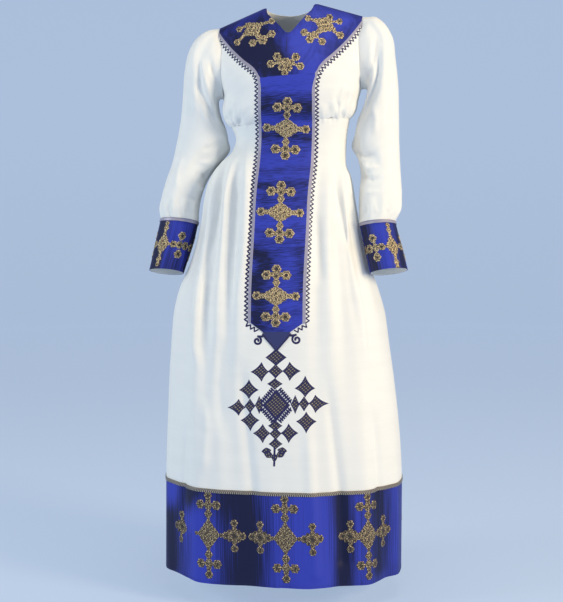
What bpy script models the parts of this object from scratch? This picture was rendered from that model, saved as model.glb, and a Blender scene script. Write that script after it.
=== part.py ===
"""A worn habesha kemis dress: hollow cloth walls with a yoke, a centre band, cuffs and a hem band.

The origin is midway between the tops of the shoulders. The front faces -Y, +X is the
wearer's left and +Z is up. Sizes below are in millimetres.
"""

import math
from typing import NamedTuple

import bmesh
import bpy
import numpy as np

MM = 0.001

CLOTH = 1.5  # thickness of every panel's wall
TRIM = 1.2  # thickness of what is sewn onto a panel
SEAM_GAP = 0.3  # between two pieces that meet edge to edge
LAY_GAP = 0.4  # between a panel and the trim that lies on it
ROUNDNESS = 2.25  # exponent of the level cuts: 2 is an ellipse, more is squarer
OUTLINE_STEPS = 240

BAND_HALF = 60.0
BAND_END_HALF = 33.0
RIBBON = 7.0
RIBBON_EDGE = BAND_HALF + RIBBON

BUST = -189.0
UNDERBUST_SEAM = -257.0
WAIST_SEAM = -358.0
BAND_CORNER = -727.0
BAND_END = -746.0
TIP_END = -790.0
HEM_SEAM = -1125.0
HEM = -1348.0

TIP_NOSE_HALF = 2.0
BRAID_HALF = 4.5

SHOULDER_TILT = 0.07
SHOULDER_POINT = 172.0  # from the middle to where the sleeve begins
NECK_POINT = 65.0
NECK_TOP = 20.0
SHOULDER_DROP = 38.0
NECK_FRONT = -50.0
NECK_BACK = 8.0
UPPER_HALF_WIDTH = 195.0
ARMHOLE_HOLLOW = 17.0  # degrees round the body


class Section(NamedTuple):
    """A level cut through the body of the dress."""

    height: float
    middle: float
    half_width: float
    front: float
    back: float
    centre_front: float
    tilt: float


BODY = (
    Section(height=-189, middle=4, half_width=165, front=124, back=90, centre_front=1, tilt=0.070),
    Section(height=-225, middle=-2, half_width=162, front=121, back=87, centre_front=1, tilt=0.070),
    Section(height=-247, middle=0, half_width=153, front=112, back=84, centre_front=0, tilt=0.070),
    Section(height=-257, middle=0, half_width=142, front=104, back=82, centre_front=0, tilt=0.070),
    Section(height=-280, middle=2, half_width=135, front=99, back=80, centre_front=-1, tilt=0.050),
    Section(height=-304, middle=1, half_width=133, front=97, back=80, centre_front=-1, tilt=0.030),
    Section(height=-325, middle=-4, half_width=137, front=99, back=85, centre_front=-2, tilt=0.000),
    Section(height=-358, middle=-17, half_width=152, front=108, back=97, centre_front=-3, tilt=-0.035),
    Section(height=-388, middle=-22, half_width=170, front=120, back=112, centre_front=-5, tilt=-0.030),
    Section(height=-426, middle=-27, half_width=180, front=133, back=126, centre_front=-8, tilt=-0.020),
    Section(height=-499, middle=-26, half_width=193, front=149, back=145, centre_front=-10, tilt=-0.010),
    Section(height=-582, middle=-27, half_width=214, front=165, back=163, centre_front=-13, tilt=0.0),
    Section(height=-640, middle=-31, half_width=236, front=176, back=175, centre_front=-15, tilt=0.0),
    Section(height=-700, middle=-30, half_width=257, front=184, back=183, centre_front=-15, tilt=0.0),
    Section(height=-790, middle=-27, half_width=267, front=191, back=190, centre_front=-15, tilt=0.0),
    Section(height=-956, middle=-20, half_width=282, front=200, back=199, centre_front=-10, tilt=0.0),
    Section(height=-1125, middle=-17, half_width=291, front=206, back=205, centre_front=0, tilt=0.0),
    Section(height=-1348, middle=-18, half_width=292, front=208, back=207, centre_front=6, tilt=0.0),
)

BODICE_LEVELS = (BUST, -215.0, -238.0, -250.0, UNDERBUST_SEAM)
MIDRIFF_LEVELS = (UNDERBUST_SEAM, -290.0, -325.0, WAIST_SEAM)
SKIRT_LEVELS = (
    WAIST_SEAM, -378.0, -405.0, -440.0, -490.0, -545.0, -600.0, -660.0, BAND_CORNER, BAND_END, TIP_END,
    -870.0, -955.0, -1040.0, HEM_SEAM,
)
HEM_BAND_LEVELS = (HEM_SEAM, -1200.0, -1275.0, HEM)


class Fold(NamedTuple):
    """A ridge (lift above 0) or a valley (below 0) that runs down the skirt beside the centre line."""

    waist: float
    hem: float
    at_waist: float
    at_hip: float
    at_thigh: float
    at_knee: float
    at_hem: float


FOLD_HEIGHTS = (WAIST_SEAM, -440.0, -630.0, -880.0, HEM)

UNDER_BAND = {
    -1: (
        Fold(waist=20, hem=20, at_waist=0, at_hip=0, at_thigh=0, at_knee=0, at_hem=1),
        Fold(waist=40, hem=40, at_waist=0, at_hip=0, at_thigh=0, at_knee=0, at_hem=-2),
        Fold(waist=60, hem=60, at_waist=0, at_hip=0, at_thigh=0, at_knee=0, at_hem=-5),
        Fold(waist=67, hem=67, at_waist=0, at_hip=0, at_thigh=0, at_knee=0, at_hem=-6),
    ),
    1: (
        Fold(waist=20, hem=20, at_waist=0, at_hip=0, at_thigh=0, at_knee=0, at_hem=3),
        Fold(waist=40, hem=40, at_waist=0, at_hip=0, at_thigh=0, at_knee=0, at_hem=6),
        Fold(waist=60, hem=60, at_waist=0, at_hip=0, at_thigh=0, at_knee=0, at_hem=7),
        Fold(waist=67, hem=67, at_waist=0, at_hip=0, at_thigh=0, at_knee=0, at_hem=6),
    ),
}

FRONT_FOLDS = {
    -1: (
        Fold(waist=92, hem=92, at_waist=1, at_hip=5, at_thigh=4, at_knee=0, at_hem=-7),
        Fold(waist=117, hem=118, at_waist=-3, at_hip=-11, at_thigh=-8, at_knee=-3, at_hem=-3),
        Fold(waist=137, hem=146, at_waist=1, at_hip=7, at_thigh=5, at_knee=2, at_hem=2),
        Fold(waist=157, hem=176, at_waist=-3, at_hip=-11, at_thigh=-9, at_knee=-1, at_hem=7),
        Fold(waist=176, hem=208, at_waist=1, at_hip=8, at_thigh=11, at_knee=6, at_hem=10),
        Fold(waist=189, hem=252, at_waist=0, at_hip=1, at_thigh=-2, at_knee=0, at_hem=-3),
        Fold(waist=199, hem=305, at_waist=0, at_hip=-2, at_thigh=-8, at_knee=-3, at_hem=-9),
        Fold(waist=208, hem=352, at_waist=0, at_hip=0, at_thigh=-2, at_knee=0, at_hem=1),
        Fold(waist=214, hem=388, at_waist=0, at_hip=-1, at_thigh=-4, at_knee=0, at_hem=0),
    ),
    1: (
        Fold(waist=84, hem=98, at_waist=-1, at_hip=-4, at_thigh=-6, at_knee=-2, at_hem=1),
        Fold(waist=106, hem=130, at_waist=1, at_hip=5, at_thigh=4, at_knee=2, at_hem=-6),
        Fold(waist=128, hem=164, at_waist=-3, at_hip=-10, at_thigh=-6, at_knee=0, at_hem=0),
        Fold(waist=146, hem=202, at_waist=1, at_hip=6, at_thigh=7, at_knee=4, at_hem=9),
        Fold(waist=160, hem=238, at_waist=-2, at_hip=-6, at_thigh=-2, at_knee=-1, at_hem=-2),
        Fold(waist=170, hem=272, at_waist=1, at_hip=4, at_thigh=3, at_knee=1, at_hem=-9),
        Fold(waist=179, hem=310, at_waist=0, at_hip=0, at_thigh=0, at_knee=1, at_hem=3),
        Fold(waist=186, hem=344, at_waist=0, at_hip=0, at_thigh=0, at_knee=0, at_hem=1),
    ),
}

BACK_FOLDS = (
    Fold(waist=22, hem=34, at_waist=-1, at_hip=-5, at_thigh=-5, at_knee=-2, at_hem=-6),
    Fold(waist=44, hem=72, at_waist=1, at_hip=5, at_thigh=5, at_knee=3, at_hem=4),
    Fold(waist=66, hem=112, at_waist=-3, at_hip=-9, at_thigh=-8, at_knee=-3, at_hem=-7),
    Fold(waist=88, hem=154, at_waist=1, at_hip=6, at_thigh=7, at_knee=4, at_hem=8),
    Fold(waist=110, hem=198, at_waist=-3, at_hip=-9, at_thigh=-7, at_knee=-2, at_hem=-6),
    Fold(waist=132, hem=244, at_waist=1, at_hip=5, at_thigh=6, at_knee=3, at_hem=7),
    Fold(waist=150, hem=290, at_waist=0, at_hip=-3, at_thigh=-5, at_knee=-2, at_hem=-6),
    Fold(waist=166, hem=336, at_waist=0, at_hip=1, at_thigh=1, at_knee=1, at_hem=2),
    Fold(waist=184, hem=368, at_waist=0, at_hip=0, at_thigh=0, at_knee=0, at_hem=0),
)


class Gather(NamedTuple):
    """A ridge or valley of the bust gathers, by its distance from the centre line."""

    seam: float
    bust: float
    lift: float


BUST_GATHERS = (
    Gather(seam=88, bust=92, lift=0.0),
    Gather(seam=108, bust=114, lift=2.2),
    Gather(seam=118, bust=128, lift=-2.4),
    Gather(seam=128, bust=142, lift=2.8),
    Gather(seam=138, bust=156, lift=-2.8),
    Gather(seam=148, bust=170, lift=2.8),
    Gather(seam=158, bust=184, lift=-2.2),
    Gather(seam=170, bust=200, lift=1.4),
)
GATHER_STRENGTH = (0.15, 0.5, 0.85, 1.0, 0.35)

BACK_BODICE_COLUMNS = (24.0, 46.0, NECK_POINT, 86.0, 107.0, 128.0, 150.0)
BACK_NECK_ACROSS = (0.0, 30.0, 52.0)


class Rise(NamedTuple):
    """How far the chest and back stand out, on the way from the bust line to the shoulder."""

    share: float
    front: float
    back: float


SHOULDER_PROFILE = (
    Rise(share=0.00, front=1.00, back=1.00),
    Rise(share=0.15, front=0.98, back=1.02),
    Rise(share=0.30, front=0.90, back=1.03),
    Rise(share=0.45, front=0.76, back=1.02),
    Rise(share=0.60, front=0.62, back=0.97),
    Rise(share=0.75, front=0.51, back=0.86),
    Rise(share=0.87, front=0.39, back=0.67),
    Rise(share=0.95, front=0.25, back=0.42),
    Rise(share=1.00, front=0.00, back=0.00),
)

YOKE_EDGE_ACROSS = (64.0, 78.0, 108.0, 144.0, 172.0)
YOKE_EDGE_HEIGHT = (-152.0, -130.0, -103.0, -65.0, -28.0)
RIBBON_DROP_CENTRE = 7.0
RIBBON_DROP_SLANT = 9.5
CHEST_CELLS = 5
YOKE_SHARES = (1.0, 0.93, 0.8, 0.6, 0.32)  # from the neck and shoulder down to the yoke's edge
NECK_ACROSS = (0.0, 26.0, 50.0, NECK_POINT)
UPPER_BACK_CELLS = 7


class Ring(NamedTuple):
    """A cut across a sleeve: its outer and inner edges as seen from the front, and its depth."""

    outer_x: float
    outer_z: float
    inner_x: float
    inner_z: float
    middle_y: float
    half_depth: float
    front_rise: float


SLEEVE_RINGS = {
    -1: (
        Ring(-185, -33, -170, -196, -3, 56, 0),
        Ring(-204, -37, -174, -202, -3, 60, 0),
        Ring(-228, -51, -176, -214, -1, 62, 0),
        Ring(-247, -78, -176, -229, 2, 62, 0),
        Ring(-259, -124, -173, -246, 8, 60, 0),
        Ring(-265, -184, -164, -268, 13, 59, 0),
        Ring(-272, -246, -155, -292, 18, 58, 0),
        Ring(-283, -302, -154, -320, 21, 58, 0),
        Ring(-295, -354, -174, -350, 20, 57, 0),
        Ring(-309, -396, -204, -386, 14, 55, 0),
        Ring(-319, -436, -221, -426, 6, 53, 2),
        Ring(-322, -468, -229, -462, -2, 50, 5),
        Ring(-319, -490, -229, -496, -9, 44, 8),
    ),
    1: (
        Ring(186, -9, 178, -172, -3, 56, 0),
        Ring(203, -8, 182, -178, -3, 60, 0),
        Ring(226, -22, 183, -190, -2, 62, 0),
        Ring(243, -50, 181, -204, 1, 62, 0),
        Ring(251, -105, 175, -224, 5, 60, 0),
        Ring(258, -172, 163, -252, 8, 59, 0),
        Ring(260, -236, 152, -284, 10, 58, 0),
        Ring(261, -292, 149, -314, 10, 58, 0),
        Ring(263, -342, 162, -343, 4, 57, 0),
        Ring(266, -388, 172, -378, -8, 55, 0),
        Ring(269, -430, 170, -424, -24, 53, 2),
        Ring(267, -468, 171, -466, -38, 50, 5),
        Ring(254, -493, 171, -499, -48, 44, 8),
    ),
}

CUFF_RINGS = {
    -1: (
        Ring(-319, -490, -229, -496, -9, 44, 8),
        Ring(-327, -532, -238, -538, -17, 44, 9),
        Ring(-335, -574, -250, -579, -26, 43, 10),
        Ring(-343, -616, -262, -620, -37, 43, 10),
    ),
    1: (
        Ring(254, -493, 171, -499, -48, 44, 8),
        Ring(264, -531, 180, -539, -56, 44, 9),
        Ring(275, -569, 189, -578, -64, 43, 10),
        Ring(285, -607, 198, -617, -73, 43, 10),
    ),
}


class Crease(NamedTuple):
    """A fold across a sleeve, from one ring and angle to another; the angle runs from the outer edge."""

    first_ring: float
    first_angle: float
    last_ring: float
    last_angle: float
    lift: float
    half_width: float


SLEEVE_CREASES = (
    Crease(first_ring=2.4, first_angle=58, last_ring=6, last_angle=128, lift=-8, half_width=28),
    Crease(first_ring=2.4, first_angle=18, last_ring=6, last_angle=84, lift=4, half_width=32),
    Crease(first_ring=7.5, first_angle=170, last_ring=9.2, last_angle=95, lift=-7, half_width=30),
    Crease(first_ring=9.6, first_angle=175, last_ring=10.6, last_angle=105, lift=-5, half_width=26),
    Crease(first_ring=2.4, first_angle=305, last_ring=6, last_angle=235, lift=-6, half_width=28),
    Crease(first_ring=7.5, first_angle=190, last_ring=9.0, last_angle=260, lift=-6, half_width=30),
)
CREASE_REACH = 1.1  # in rings
ARMHOLE_FADE = 5  # rings until nothing is left of the armhole's shape
EVEN_AFTER = 7  # rings until the sleeve's points are evenly spread
ARMHOLE_RISE = 0.4  # how far the sleeve's first step carries on along the bodice, as a share of its length
CUFF_GATHER = 1.6
HEAD_GATHER = 1.0

SIDES = {"right": 1, "left": -1}


class Finish(NamedTuple):
    """A material's look."""

    colour: tuple
    roughness: float
    metallic: float


WHITE_COTTON = Finish((0.86, 0.88, 0.86), 0.75, 0.0)
BLUE_BROCADE = Finish((0.035, 0.045, 0.42), 0.38, 0.0)
PLAIN_BLUE = Finish((0.06, 0.075, 0.33), 0.5, 0.0)
SILVER_RIBBON = Finish((0.42, 0.41, 0.52), 0.45, 0.3)
BRAID = Finish((0.36, 0.33, 0.30), 0.55, 0.3)


def smooth_value(keys, values, key):
    """A value between table rows, on a curve that doesn't overshoot them."""
    keys = np.asarray(keys, dtype=float)
    values = np.asarray(values, dtype=float)
    if keys[0] > keys[-1]:
        keys, values = keys[::-1], values[::-1]
    key = min(max(key, keys[0]), keys[-1])
    slopes = np.diff(values) / np.diff(keys)
    tangents = np.zeros(len(keys))
    for i in range(1, len(keys) - 1):
        if slopes[i - 1] * slopes[i] > 0:
            tangents[i] = 2 * slopes[i - 1] * slopes[i] / (slopes[i - 1] + slopes[i])
    tangents[0], tangents[-1] = slopes[0], slopes[-1]
    i = min(int(np.searchsorted(keys, key, side="right")) - 1, len(keys) - 2)
    step = keys[i + 1] - keys[i]
    t = (key - keys[i]) / step
    start = (2 * t**3 - 3 * t**2 + 1) * values[i] + (t**3 - 2 * t**2 + t) * step * tangents[i]
    end = (-2 * t**3 + 3 * t**2) * values[i + 1] + (t**3 - t**2) * step * tangents[i + 1]
    return float(start + end)


def body_section(height):
    """The level cut at a height."""
    heights = [row.height for row in BODY]
    columns = zip(*BODY)
    return Section(*(smooth_value(heights, column, height) for column in columns))


class Outline:
    """Half of a level cut, front or back, from seam to seam, measured along the cloth."""

    def __init__(self, section, is_front):
        angles = np.linspace(-math.pi / 2, math.pi / 2, OUTLINE_STEPS + 1)
        power = 2 / ROUNDNESS
        across = np.sign(np.sin(angles)) * np.abs(np.sin(angles)) ** power
        depth = np.clip(np.cos(angles), 0, 1) ** power
        reach = -section.front if is_front else section.back
        self.section = section
        self.xs = section.middle + section.half_width * across
        self.ys = reach * depth
        steps = np.hypot(np.diff(self.xs), np.diff(self.ys))
        self.arcs = np.concatenate([[0.0], np.cumsum(steps)])
        start_x = section.centre_front if is_front else section.middle
        self.start = float(np.interp(start_x, self.xs, self.arcs))

    def reach(self, side):
        """Length of cloth from the centre line to the seam on a side."""
        return self.arcs[-1] - self.start if side > 0 else self.start

    def point(self, side, distance, lift=0.0):
        """The place at a distance from the centre line, moved out by a lift."""
        arc = self.start + side * distance
        x = np.interp(arc, self.arcs, self.xs)
        y = np.interp(arc, self.arcs, self.ys)
        before, after = arc - 2.0, arc + 2.0
        along = np.array(
            [
                np.interp(after, self.arcs, self.xs) - np.interp(before, self.arcs, self.xs),
                np.interp(after, self.arcs, self.ys) - np.interp(before, self.arcs, self.ys),
            ]
        )
        out = np.array([along[1], -along[0]]) / max(np.linalg.norm(along), 1e-9)
        if np.dot(out, [x - self.section.middle, y]) < 0:
            out = -out
        x, y = x + lift * out[0], y + lift * out[1]
        return np.array([x, y, self.section.height + self.section.tilt * x])


def stretched(distance, length, new_length):
    """A distance beyond the ribbon, carried to a level where the cloth is longer or shorter."""
    if distance <= RIBBON_EDGE:
        return distance
    return RIBBON_EDGE + (distance - RIBBON_EDGE) * (new_length - RIBBON_EDGE) / (length - RIBBON_EDGE)


def skirt_half(height, side, is_front, folds):
    """Points of one side of a level, from the centre line out to the seam."""
    outline = Outline(body_section(height), is_front)
    waist = Outline(body_section(WAIST_SEAM), is_front).reach(side)
    hem = Outline(body_section(HEM), is_front).reach(side)
    here = outline.reach(side)
    points = [outline.point(side, 0.0)]
    for fold in folds:
        if height > WAIST_SEAM:
            points.append(outline.point(side, stretched(fold.waist, waist, here)))
            continue
        spread = min(max((here - waist) / (hem - waist), 0.0), 1.0)
        lift = smooth_value(FOLD_HEIGHTS, fold[2:], height)
        points.append(outline.point(side, fold.waist + (fold.hem - fold.waist) * spread, lift))
    points.append(outline.point(side, here))
    return points


def skirt_row(height, is_front):
    """A whole level of the midriff, skirt or hem band, from seam to seam."""
    sides = {side: UNDER_BAND[side] + FRONT_FOLDS[side] if is_front else BACK_FOLDS for side in (-1, 1)}
    left = skirt_half(height, -1, is_front, sides[-1])
    right = skirt_half(height, 1, is_front, sides[1])
    row = left[:0:-1] + right
    return row if is_front else row[::-1]


def bodice_distances(side, height, is_front):
    """Distances of the bodice's columns from the centre line, at a level."""
    here = Outline(body_section(height), is_front).reach(side)
    if not is_front:
        return [0.0, *BACK_BODICE_COLUMNS, here]
    up = (height - UNDERBUST_SEAM) / (BUST - UNDERBUST_SEAM)
    gathers = [g.seam + (g.bust - g.seam) * up for g in BUST_GATHERS]
    return [0.0, 20.0, 40.0, BAND_HALF, RIBBON_EDGE, *gathers, here]


def bodice_lifts(strength, is_front):
    """Lifts of the bodice's columns; only the front is gathered."""
    if not is_front:
        return [0.0] * (len(BACK_BODICE_COLUMNS) + 2)
    return [0.0] * 5 + [g.lift * strength for g in BUST_GATHERS] + [0.0]


def lower_bodice_row(height, strength, is_front):
    """A level of the bodice between the bust line and the seam below it."""
    outline = Outline(body_section(height), is_front)
    halves = {}
    for side in (-1, 1):
        pairs = zip(bodice_distances(side, height, is_front), bodice_lifts(strength, is_front))
        halves[side] = [outline.point(side, distance, lift) for distance, lift in pairs]
    row = halves[-1][:0:-1] + halves[1]
    return row if is_front else row[::-1]


def shoulder_height(across):
    """Height of the shoulder seam, and of the neck's rise inside it, before the tilt."""
    slope = SHOULDER_DROP / (SHOULDER_POINT - NECK_POINT)
    return NECK_TOP - slope * (abs(across) - NECK_POINT)


def upper_half_width(rise):
    """Half width of the form above the bust line, which the armholes cut into."""
    widen = min(rise / 0.6, 1.0)
    lower = body_section(BUST).half_width
    return lower + (UPPER_HALF_WIDTH - lower) * widen**2 * (3 - 2 * widen)


def turn_round(across, half_width):
    """Degrees round the body from its centre line at which a cut reaches a distance across."""
    return math.degrees(math.asin(min(across / half_width, 1.0) ** (ROUNDNESS / 2)))


def upper_point(across, rise, is_front):
    """A place above the bust line, by its distance from the middle and its share of the way up."""
    bust = body_section(BUST)
    shares = [row.share for row in SHOULDER_PROFILE]
    profile = smooth_value(shares, [row.front if is_front else row.back for row in SHOULDER_PROFILE], rise)
    side_share = max(1 - min(abs(across) / upper_half_width(rise), 1.0) ** ROUNDNESS, 0.0) ** (1 / ROUNDNESS)
    depth = (-bust.front if is_front else bust.back) * side_share * profile
    x = across + bust.middle * (1 - rise)
    z = BUST + rise * (shoulder_height(across) - BUST)
    return np.array([x, depth, z + SHOULDER_TILT * x])


def rise_at(across, height):
    """The share of the way up at which a place has a height."""
    return (height - BUST) / (shoulder_height(across) - BUST)


def even_shares(count):
    """Shares from 0 to 1 in equal steps."""
    return [i / (count - 1) for i in range(count)]


def column_places(is_front, level):
    """Distance from the middle and height of each column on one side, along a named level."""
    if not is_front:
        neck = BACK_NECK_ACROSS
        shoulder = len(BACK_BODICE_COLUMNS) + 2 - len(neck)
        outer = [NECK_POINT + (SHOULDER_POINT - NECK_POINT) * share for share in even_shares(shoulder)]
        dip = [NECK_BACK + (NECK_TOP - NECK_BACK) * (x / NECK_POINT) ** 2 for x in neck]
        return [*zip(neck, dip), *((x, shoulder_height(x)) for x in outer)]
    if level == "neck":
        shares = even_shares(len(BUST_GATHERS) + 3)[1:]
        outer = [NECK_POINT + (SHOULDER_POINT - NECK_POINT) * share for share in shares]
        places = [(x, NECK_FRONT + (NECK_TOP - NECK_FRONT) * (x / NECK_POINT) ** 1.1) for x in NECK_ACROSS]
        return places + [(x, shoulder_height(x)) for x in outer]
    drop = level == "ribbon"
    inner = [(YOKE_EDGE_ACROSS[0] * i / 3, YOKE_EDGE_HEIGHT[0] - RIBBON_DROP_CENTRE * drop) for i in range(4)]
    outer = []
    for share in even_shares(len(BUST_GATHERS) + 3)[1:]:
        across = YOKE_EDGE_ACROSS[0] + (SHOULDER_POINT - YOKE_EDGE_ACROSS[0]) * share**1.08
        height = smooth_value(YOKE_EDGE_ACROSS, YOKE_EDGE_HEIGHT, across) - RIBBON_DROP_SLANT * drop
        outer.append((across, height))
    return inner + outer


def upper_rows(is_front):
    """Rows of the bodice from the neck and shoulders down to just above the bust line."""
    bust = body_section(BUST)
    outline = Outline(bust, is_front)
    top = column_places(is_front, "neck")
    bottom = column_places(is_front, "yoke") if is_front else top
    ribbon = column_places(is_front, "ribbon") if is_front else top
    rows = []

    def add_row(place):
        halves = {}
        for side in (-1, 1):
            distances = bodice_distances(side, BUST, is_front)
            starts = [outline.point(side, d)[0] - bust.middle for d in distances]
            halves[side] = [place(side, j, starts[j]) for j in range(len(top))]
        row = halves[-1][:0:-1] + halves[1]
        rows.append(row if is_front else row[::-1])

    def yoke_place(share):
        def place(side, j, _):
            across = bottom[j][0] + (top[j][0] - bottom[j][0]) * share
            low, high = rise_at(*bottom[j]), rise_at(*top[j])
            return upper_point(side * across, low + (high - low) * share, is_front)

        return place

    def chest_place(share):
        def place(side, j, start):
            rise = rise_at(*ribbon[j])
            first = turn_round(abs(start), upper_half_width(0.0))
            last = turn_round(ribbon[j][0], upper_half_width(rise))
            hollow = ARMHOLE_HOLLOW * 4 * share * (1 - share) * (j / (len(top) - 1)) ** 3
            turn = first + (last - first) * share - hollow
            across = upper_half_width(rise * share) * math.sin(math.radians(turn)) ** (2 / ROUNDNESS)
            return upper_point(side * across, rise * share, is_front)

        return place

    if is_front:
        for share in YOKE_SHARES:
            add_row(yoke_place(share))
        add_row(yoke_place(0.0))
    cells = CHEST_CELLS if is_front else UPPER_BACK_CELLS
    for i in range(cells):
        add_row(chest_place(1 - i / cells))
    return rows


def surface_normals(points):
    """Unit normals of a grid of points whose rows run down and whose columns run round."""
    down = np.gradient(points, axis=0)
    across = np.gradient(points, axis=1)
    normals = np.cross(down, across)
    return normals / np.maximum(np.linalg.norm(normals, axis=2, keepdims=True), 1e-9)


def unit(vector):
    """A vector at length 1."""
    return vector / np.linalg.norm(vector)


def share_normals(first, first_place, second, second_place):
    """Give two grids the same normals along the edge where they meet."""
    both = first[first_place] + second[second_place]
    both /= np.linalg.norm(both, axis=-1, keepdims=True)
    first[first_place] = both
    second[second_place] = both


def flatten_normals(normals, row, height):
    """Lay a seam row's normals in the seam's own plane, so that both edges there are parallel."""
    tilt = body_section(height).tilt
    seam = unit(np.array([-tilt, 0.0, 1.0]))
    level = normals[row] - np.outer(normals[row] @ seam, seam)
    normals[row] = level / np.linalg.norm(level, axis=1, keepdims=True)


class Cloth(NamedTuple):
    """A grid of points with its normals."""

    points: np.ndarray
    normals: np.ndarray

    def part(self, rows, columns):
        """The cloth between some rows and columns."""
        return Cloth(self.points[rows, columns].copy(), self.normals[rows, columns].copy())


def lower_body():
    """The midriff, skirt and hem band, front and back, as two grids that meet at the sides."""
    levels = MIDRIFF_LEVELS + SKIRT_LEVELS[1:] + HEM_BAND_LEVELS[1:]
    points = {f: np.array([skirt_row(height, f) for height in levels]) for f in (True, False)}
    normals = {f: surface_normals(points[f]) for f in (True, False)}
    everywhere = slice(None)
    share_normals(normals[True], (everywhere, -1), normals[False], (everywhere, 0))
    share_normals(normals[True], (everywhere, 0), normals[False], (everywhere, -1))
    for is_front in (True, False):
        for height in (UNDERBUST_SEAM, WAIST_SEAM, HEM_SEAM, HEM):
            flatten_normals(normals[is_front], levels.index(height), height)
    return levels, Cloth(points[True], normals[True]), Cloth(points[False], normals[False])


def bodice():
    """The bodice's front and back grids, from the neck and shoulders down to the seam under the bust."""
    cloths = {}
    for is_front in (True, False):
        lower = [lower_bodice_row(*pair, is_front) for pair in zip(BODICE_LEVELS, GATHER_STRENGTH)]
        points = np.array(upper_rows(is_front) + lower)
        cloths[is_front] = Cloth(points, surface_normals(points))
    front, back = cloths[True], cloths[False]
    sides = slice(-len(BODICE_LEVELS), None)
    share_normals(front.normals, (sides, -1), back.normals, (sides, 0))
    share_normals(front.normals, (sides, 0), back.normals, (sides, -1))
    back_shoulder = len(BACK_BODICE_COLUMNS) + 2 - len(BACK_NECK_ACROSS)
    for cloth, shoulder_columns in ((front, len(BUST_GATHERS) + 3), (back, back_shoulder)):
        flatten_normals(cloth.normals, -1, UNDERBUST_SEAM)
        for edge in (slice(None, shoulder_columns), slice(-shoulder_columns, None)):
            along = unit(cloth.points[0, edge][-1] - cloth.points[0, edge][0])
            up = np.cross(along, [0.0, 1.0, 0.0])
            cloth.normals[0, edge] = unit(up * np.sign(up[2]))
    return front, back


def eased(points, distance, closed):
    """The points with their edges drawn in, so that neighbours keep a gap."""
    result = points.copy()
    if distance == 0:
        return result
    for edge, inner in ((0, 1), (-1, -2)):
        step = points[inner] - points[edge]
        result[edge] += distance * step / np.linalg.norm(step, axis=-1, keepdims=True)
    if not closed:
        for edge, inner in ((0, 1), (-1, -2)):
            step = points[:, inner] - points[:, edge]
            result[:, edge] += distance * step / np.linalg.norm(step, axis=-1, keepdims=True)
    return result


def wall(name, cloth, finish, lift=0.0, thickness=CLOTH, closed=False, ease=SEAM_GAP / 2):
    """Make a closed wall of cloth: a grid, its copy moved out by the thickness, and the rims between."""
    base = eased(cloth.points, ease, closed)
    rows, columns = base.shape[:2]
    layers = [(base + cloth.normals * height) * MM for height in (lift, lift + thickness)]
    points = [tuple(point) for layer in layers for point in layer.reshape(-1, 3)]
    layer_size = rows * columns

    def index(layer, row, column):
        return layer * layer_size + row * columns + column % columns

    faces = []
    last = columns if closed else columns - 1
    for row in range(rows - 1):
        for column in range(last):
            corners = ((row, column), (row + 1, column), (row + 1, column + 1), (row, column + 1))
            for layer in (0, 1):
                a, b, c, d = (index(layer, *corner) for corner in corners)
                faces += [(a, b, c), (a, c, d)]
    rims = []
    for row in (0, rows - 1):
        rims += [((row, column), (row, (column + 1) % columns)) for column in range(last)]
    if not closed:
        for column in (0, columns - 1):
            rims += [((row, column), (row + 1, column)) for row in range(rows - 1)]
    for first, second in rims:
        if base[second][2] > base[first][2]:
            first, second = second, first
        a, b, c, d = index(0, *first), index(0, *second), index(1, *second), index(1, *first)
        faces += [(a, b, c), (a, c, d)]

    mesh = bpy.data.meshes.new(name)
    mesh.from_pydata(points, [], faces)
    work = bmesh.new()
    work.from_mesh(mesh)
    bmesh.ops.recalc_face_normals(work, faces=work.faces)
    work.to_mesh(mesh)
    work.free()
    mesh.shade_smooth()
    mesh.set_sharp_from_angle(angle=math.radians(40))
    mesh.materials.append(material(f"{name}_finish", finish))
    thing = bpy.data.objects.new(name, mesh)
    bpy.data.collections["habesha_kemis"].objects.link(thing)
    return thing


def material(name, finish):
    """A Principled material."""
    result = bpy.data.materials.new(name)
    result.use_nodes = True
    shader = result.node_tree.nodes["Principled BSDF"]
    shader.inputs["Base Color"].default_value = (*finish.colour, 1.0)
    shader.inputs["Roughness"].default_value = finish.roughness
    shader.inputs["Metallic"].default_value = finish.metallic
    return result


def armhole(front, back, side):
    """The sleeve's first ring, a gap beyond the bodice's edge, with the bodice's normals and the way out."""
    edge, inner = (-1, -2) if side > 0 else (0, 1)
    back_edge, back_inner = (0, 1) if side > 0 else (-1, -2)
    front_last = len(front.points) - len(BODICE_LEVELS)
    back_last = len(back.points) - len(BODICE_LEVELS)
    places = [(front, row, edge, front.points[row, inner]) for row in range(front_last)]
    places.append((front, front_last, edge, front.points[front_last + 1, edge]))
    places += [(back, row, back_edge, back.points[row, back_inner]) for row in range(back_last - 1, 0, -1)]
    points = np.array([cloth.points[row, column] for cloth, row, column, _ in places])
    normals = np.array([cloth.normals[row, column] for cloth, row, column, _ in places])
    away = np.cross(normals, np.roll(points, -1, axis=0) - np.roll(points, 1, axis=0))
    away /= np.linalg.norm(away, axis=1, keepdims=True)
    beyond = points - np.array([neighbour for _, _, _, neighbour in places])
    away *= np.sign((away * beyond).sum(axis=1, keepdims=True))
    return points + SEAM_GAP * away, normals, away, front_last


def even_angles(front_count, total):
    """Angles of a ring's points, evenly spread: 0 at its outer edge, 180 at its inner edge."""
    front = np.arange(front_count) / front_count
    back = np.arange(total - front_count) / (total - front_count)
    return 180.0 * np.concatenate([front, 1 + back])


def edge_angles(loop, front_count):
    """The same angles, shared out by the length of a loop instead."""
    lengths = np.linalg.norm(np.roll(loop, -1, axis=0) - loop, axis=1)
    front = np.cumsum(lengths[:front_count])
    back = np.cumsum(lengths[front_count:])
    return 180.0 * np.concatenate([[0.0], front / front[-1], 1 + back[:-1] / back[-1]])


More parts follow.
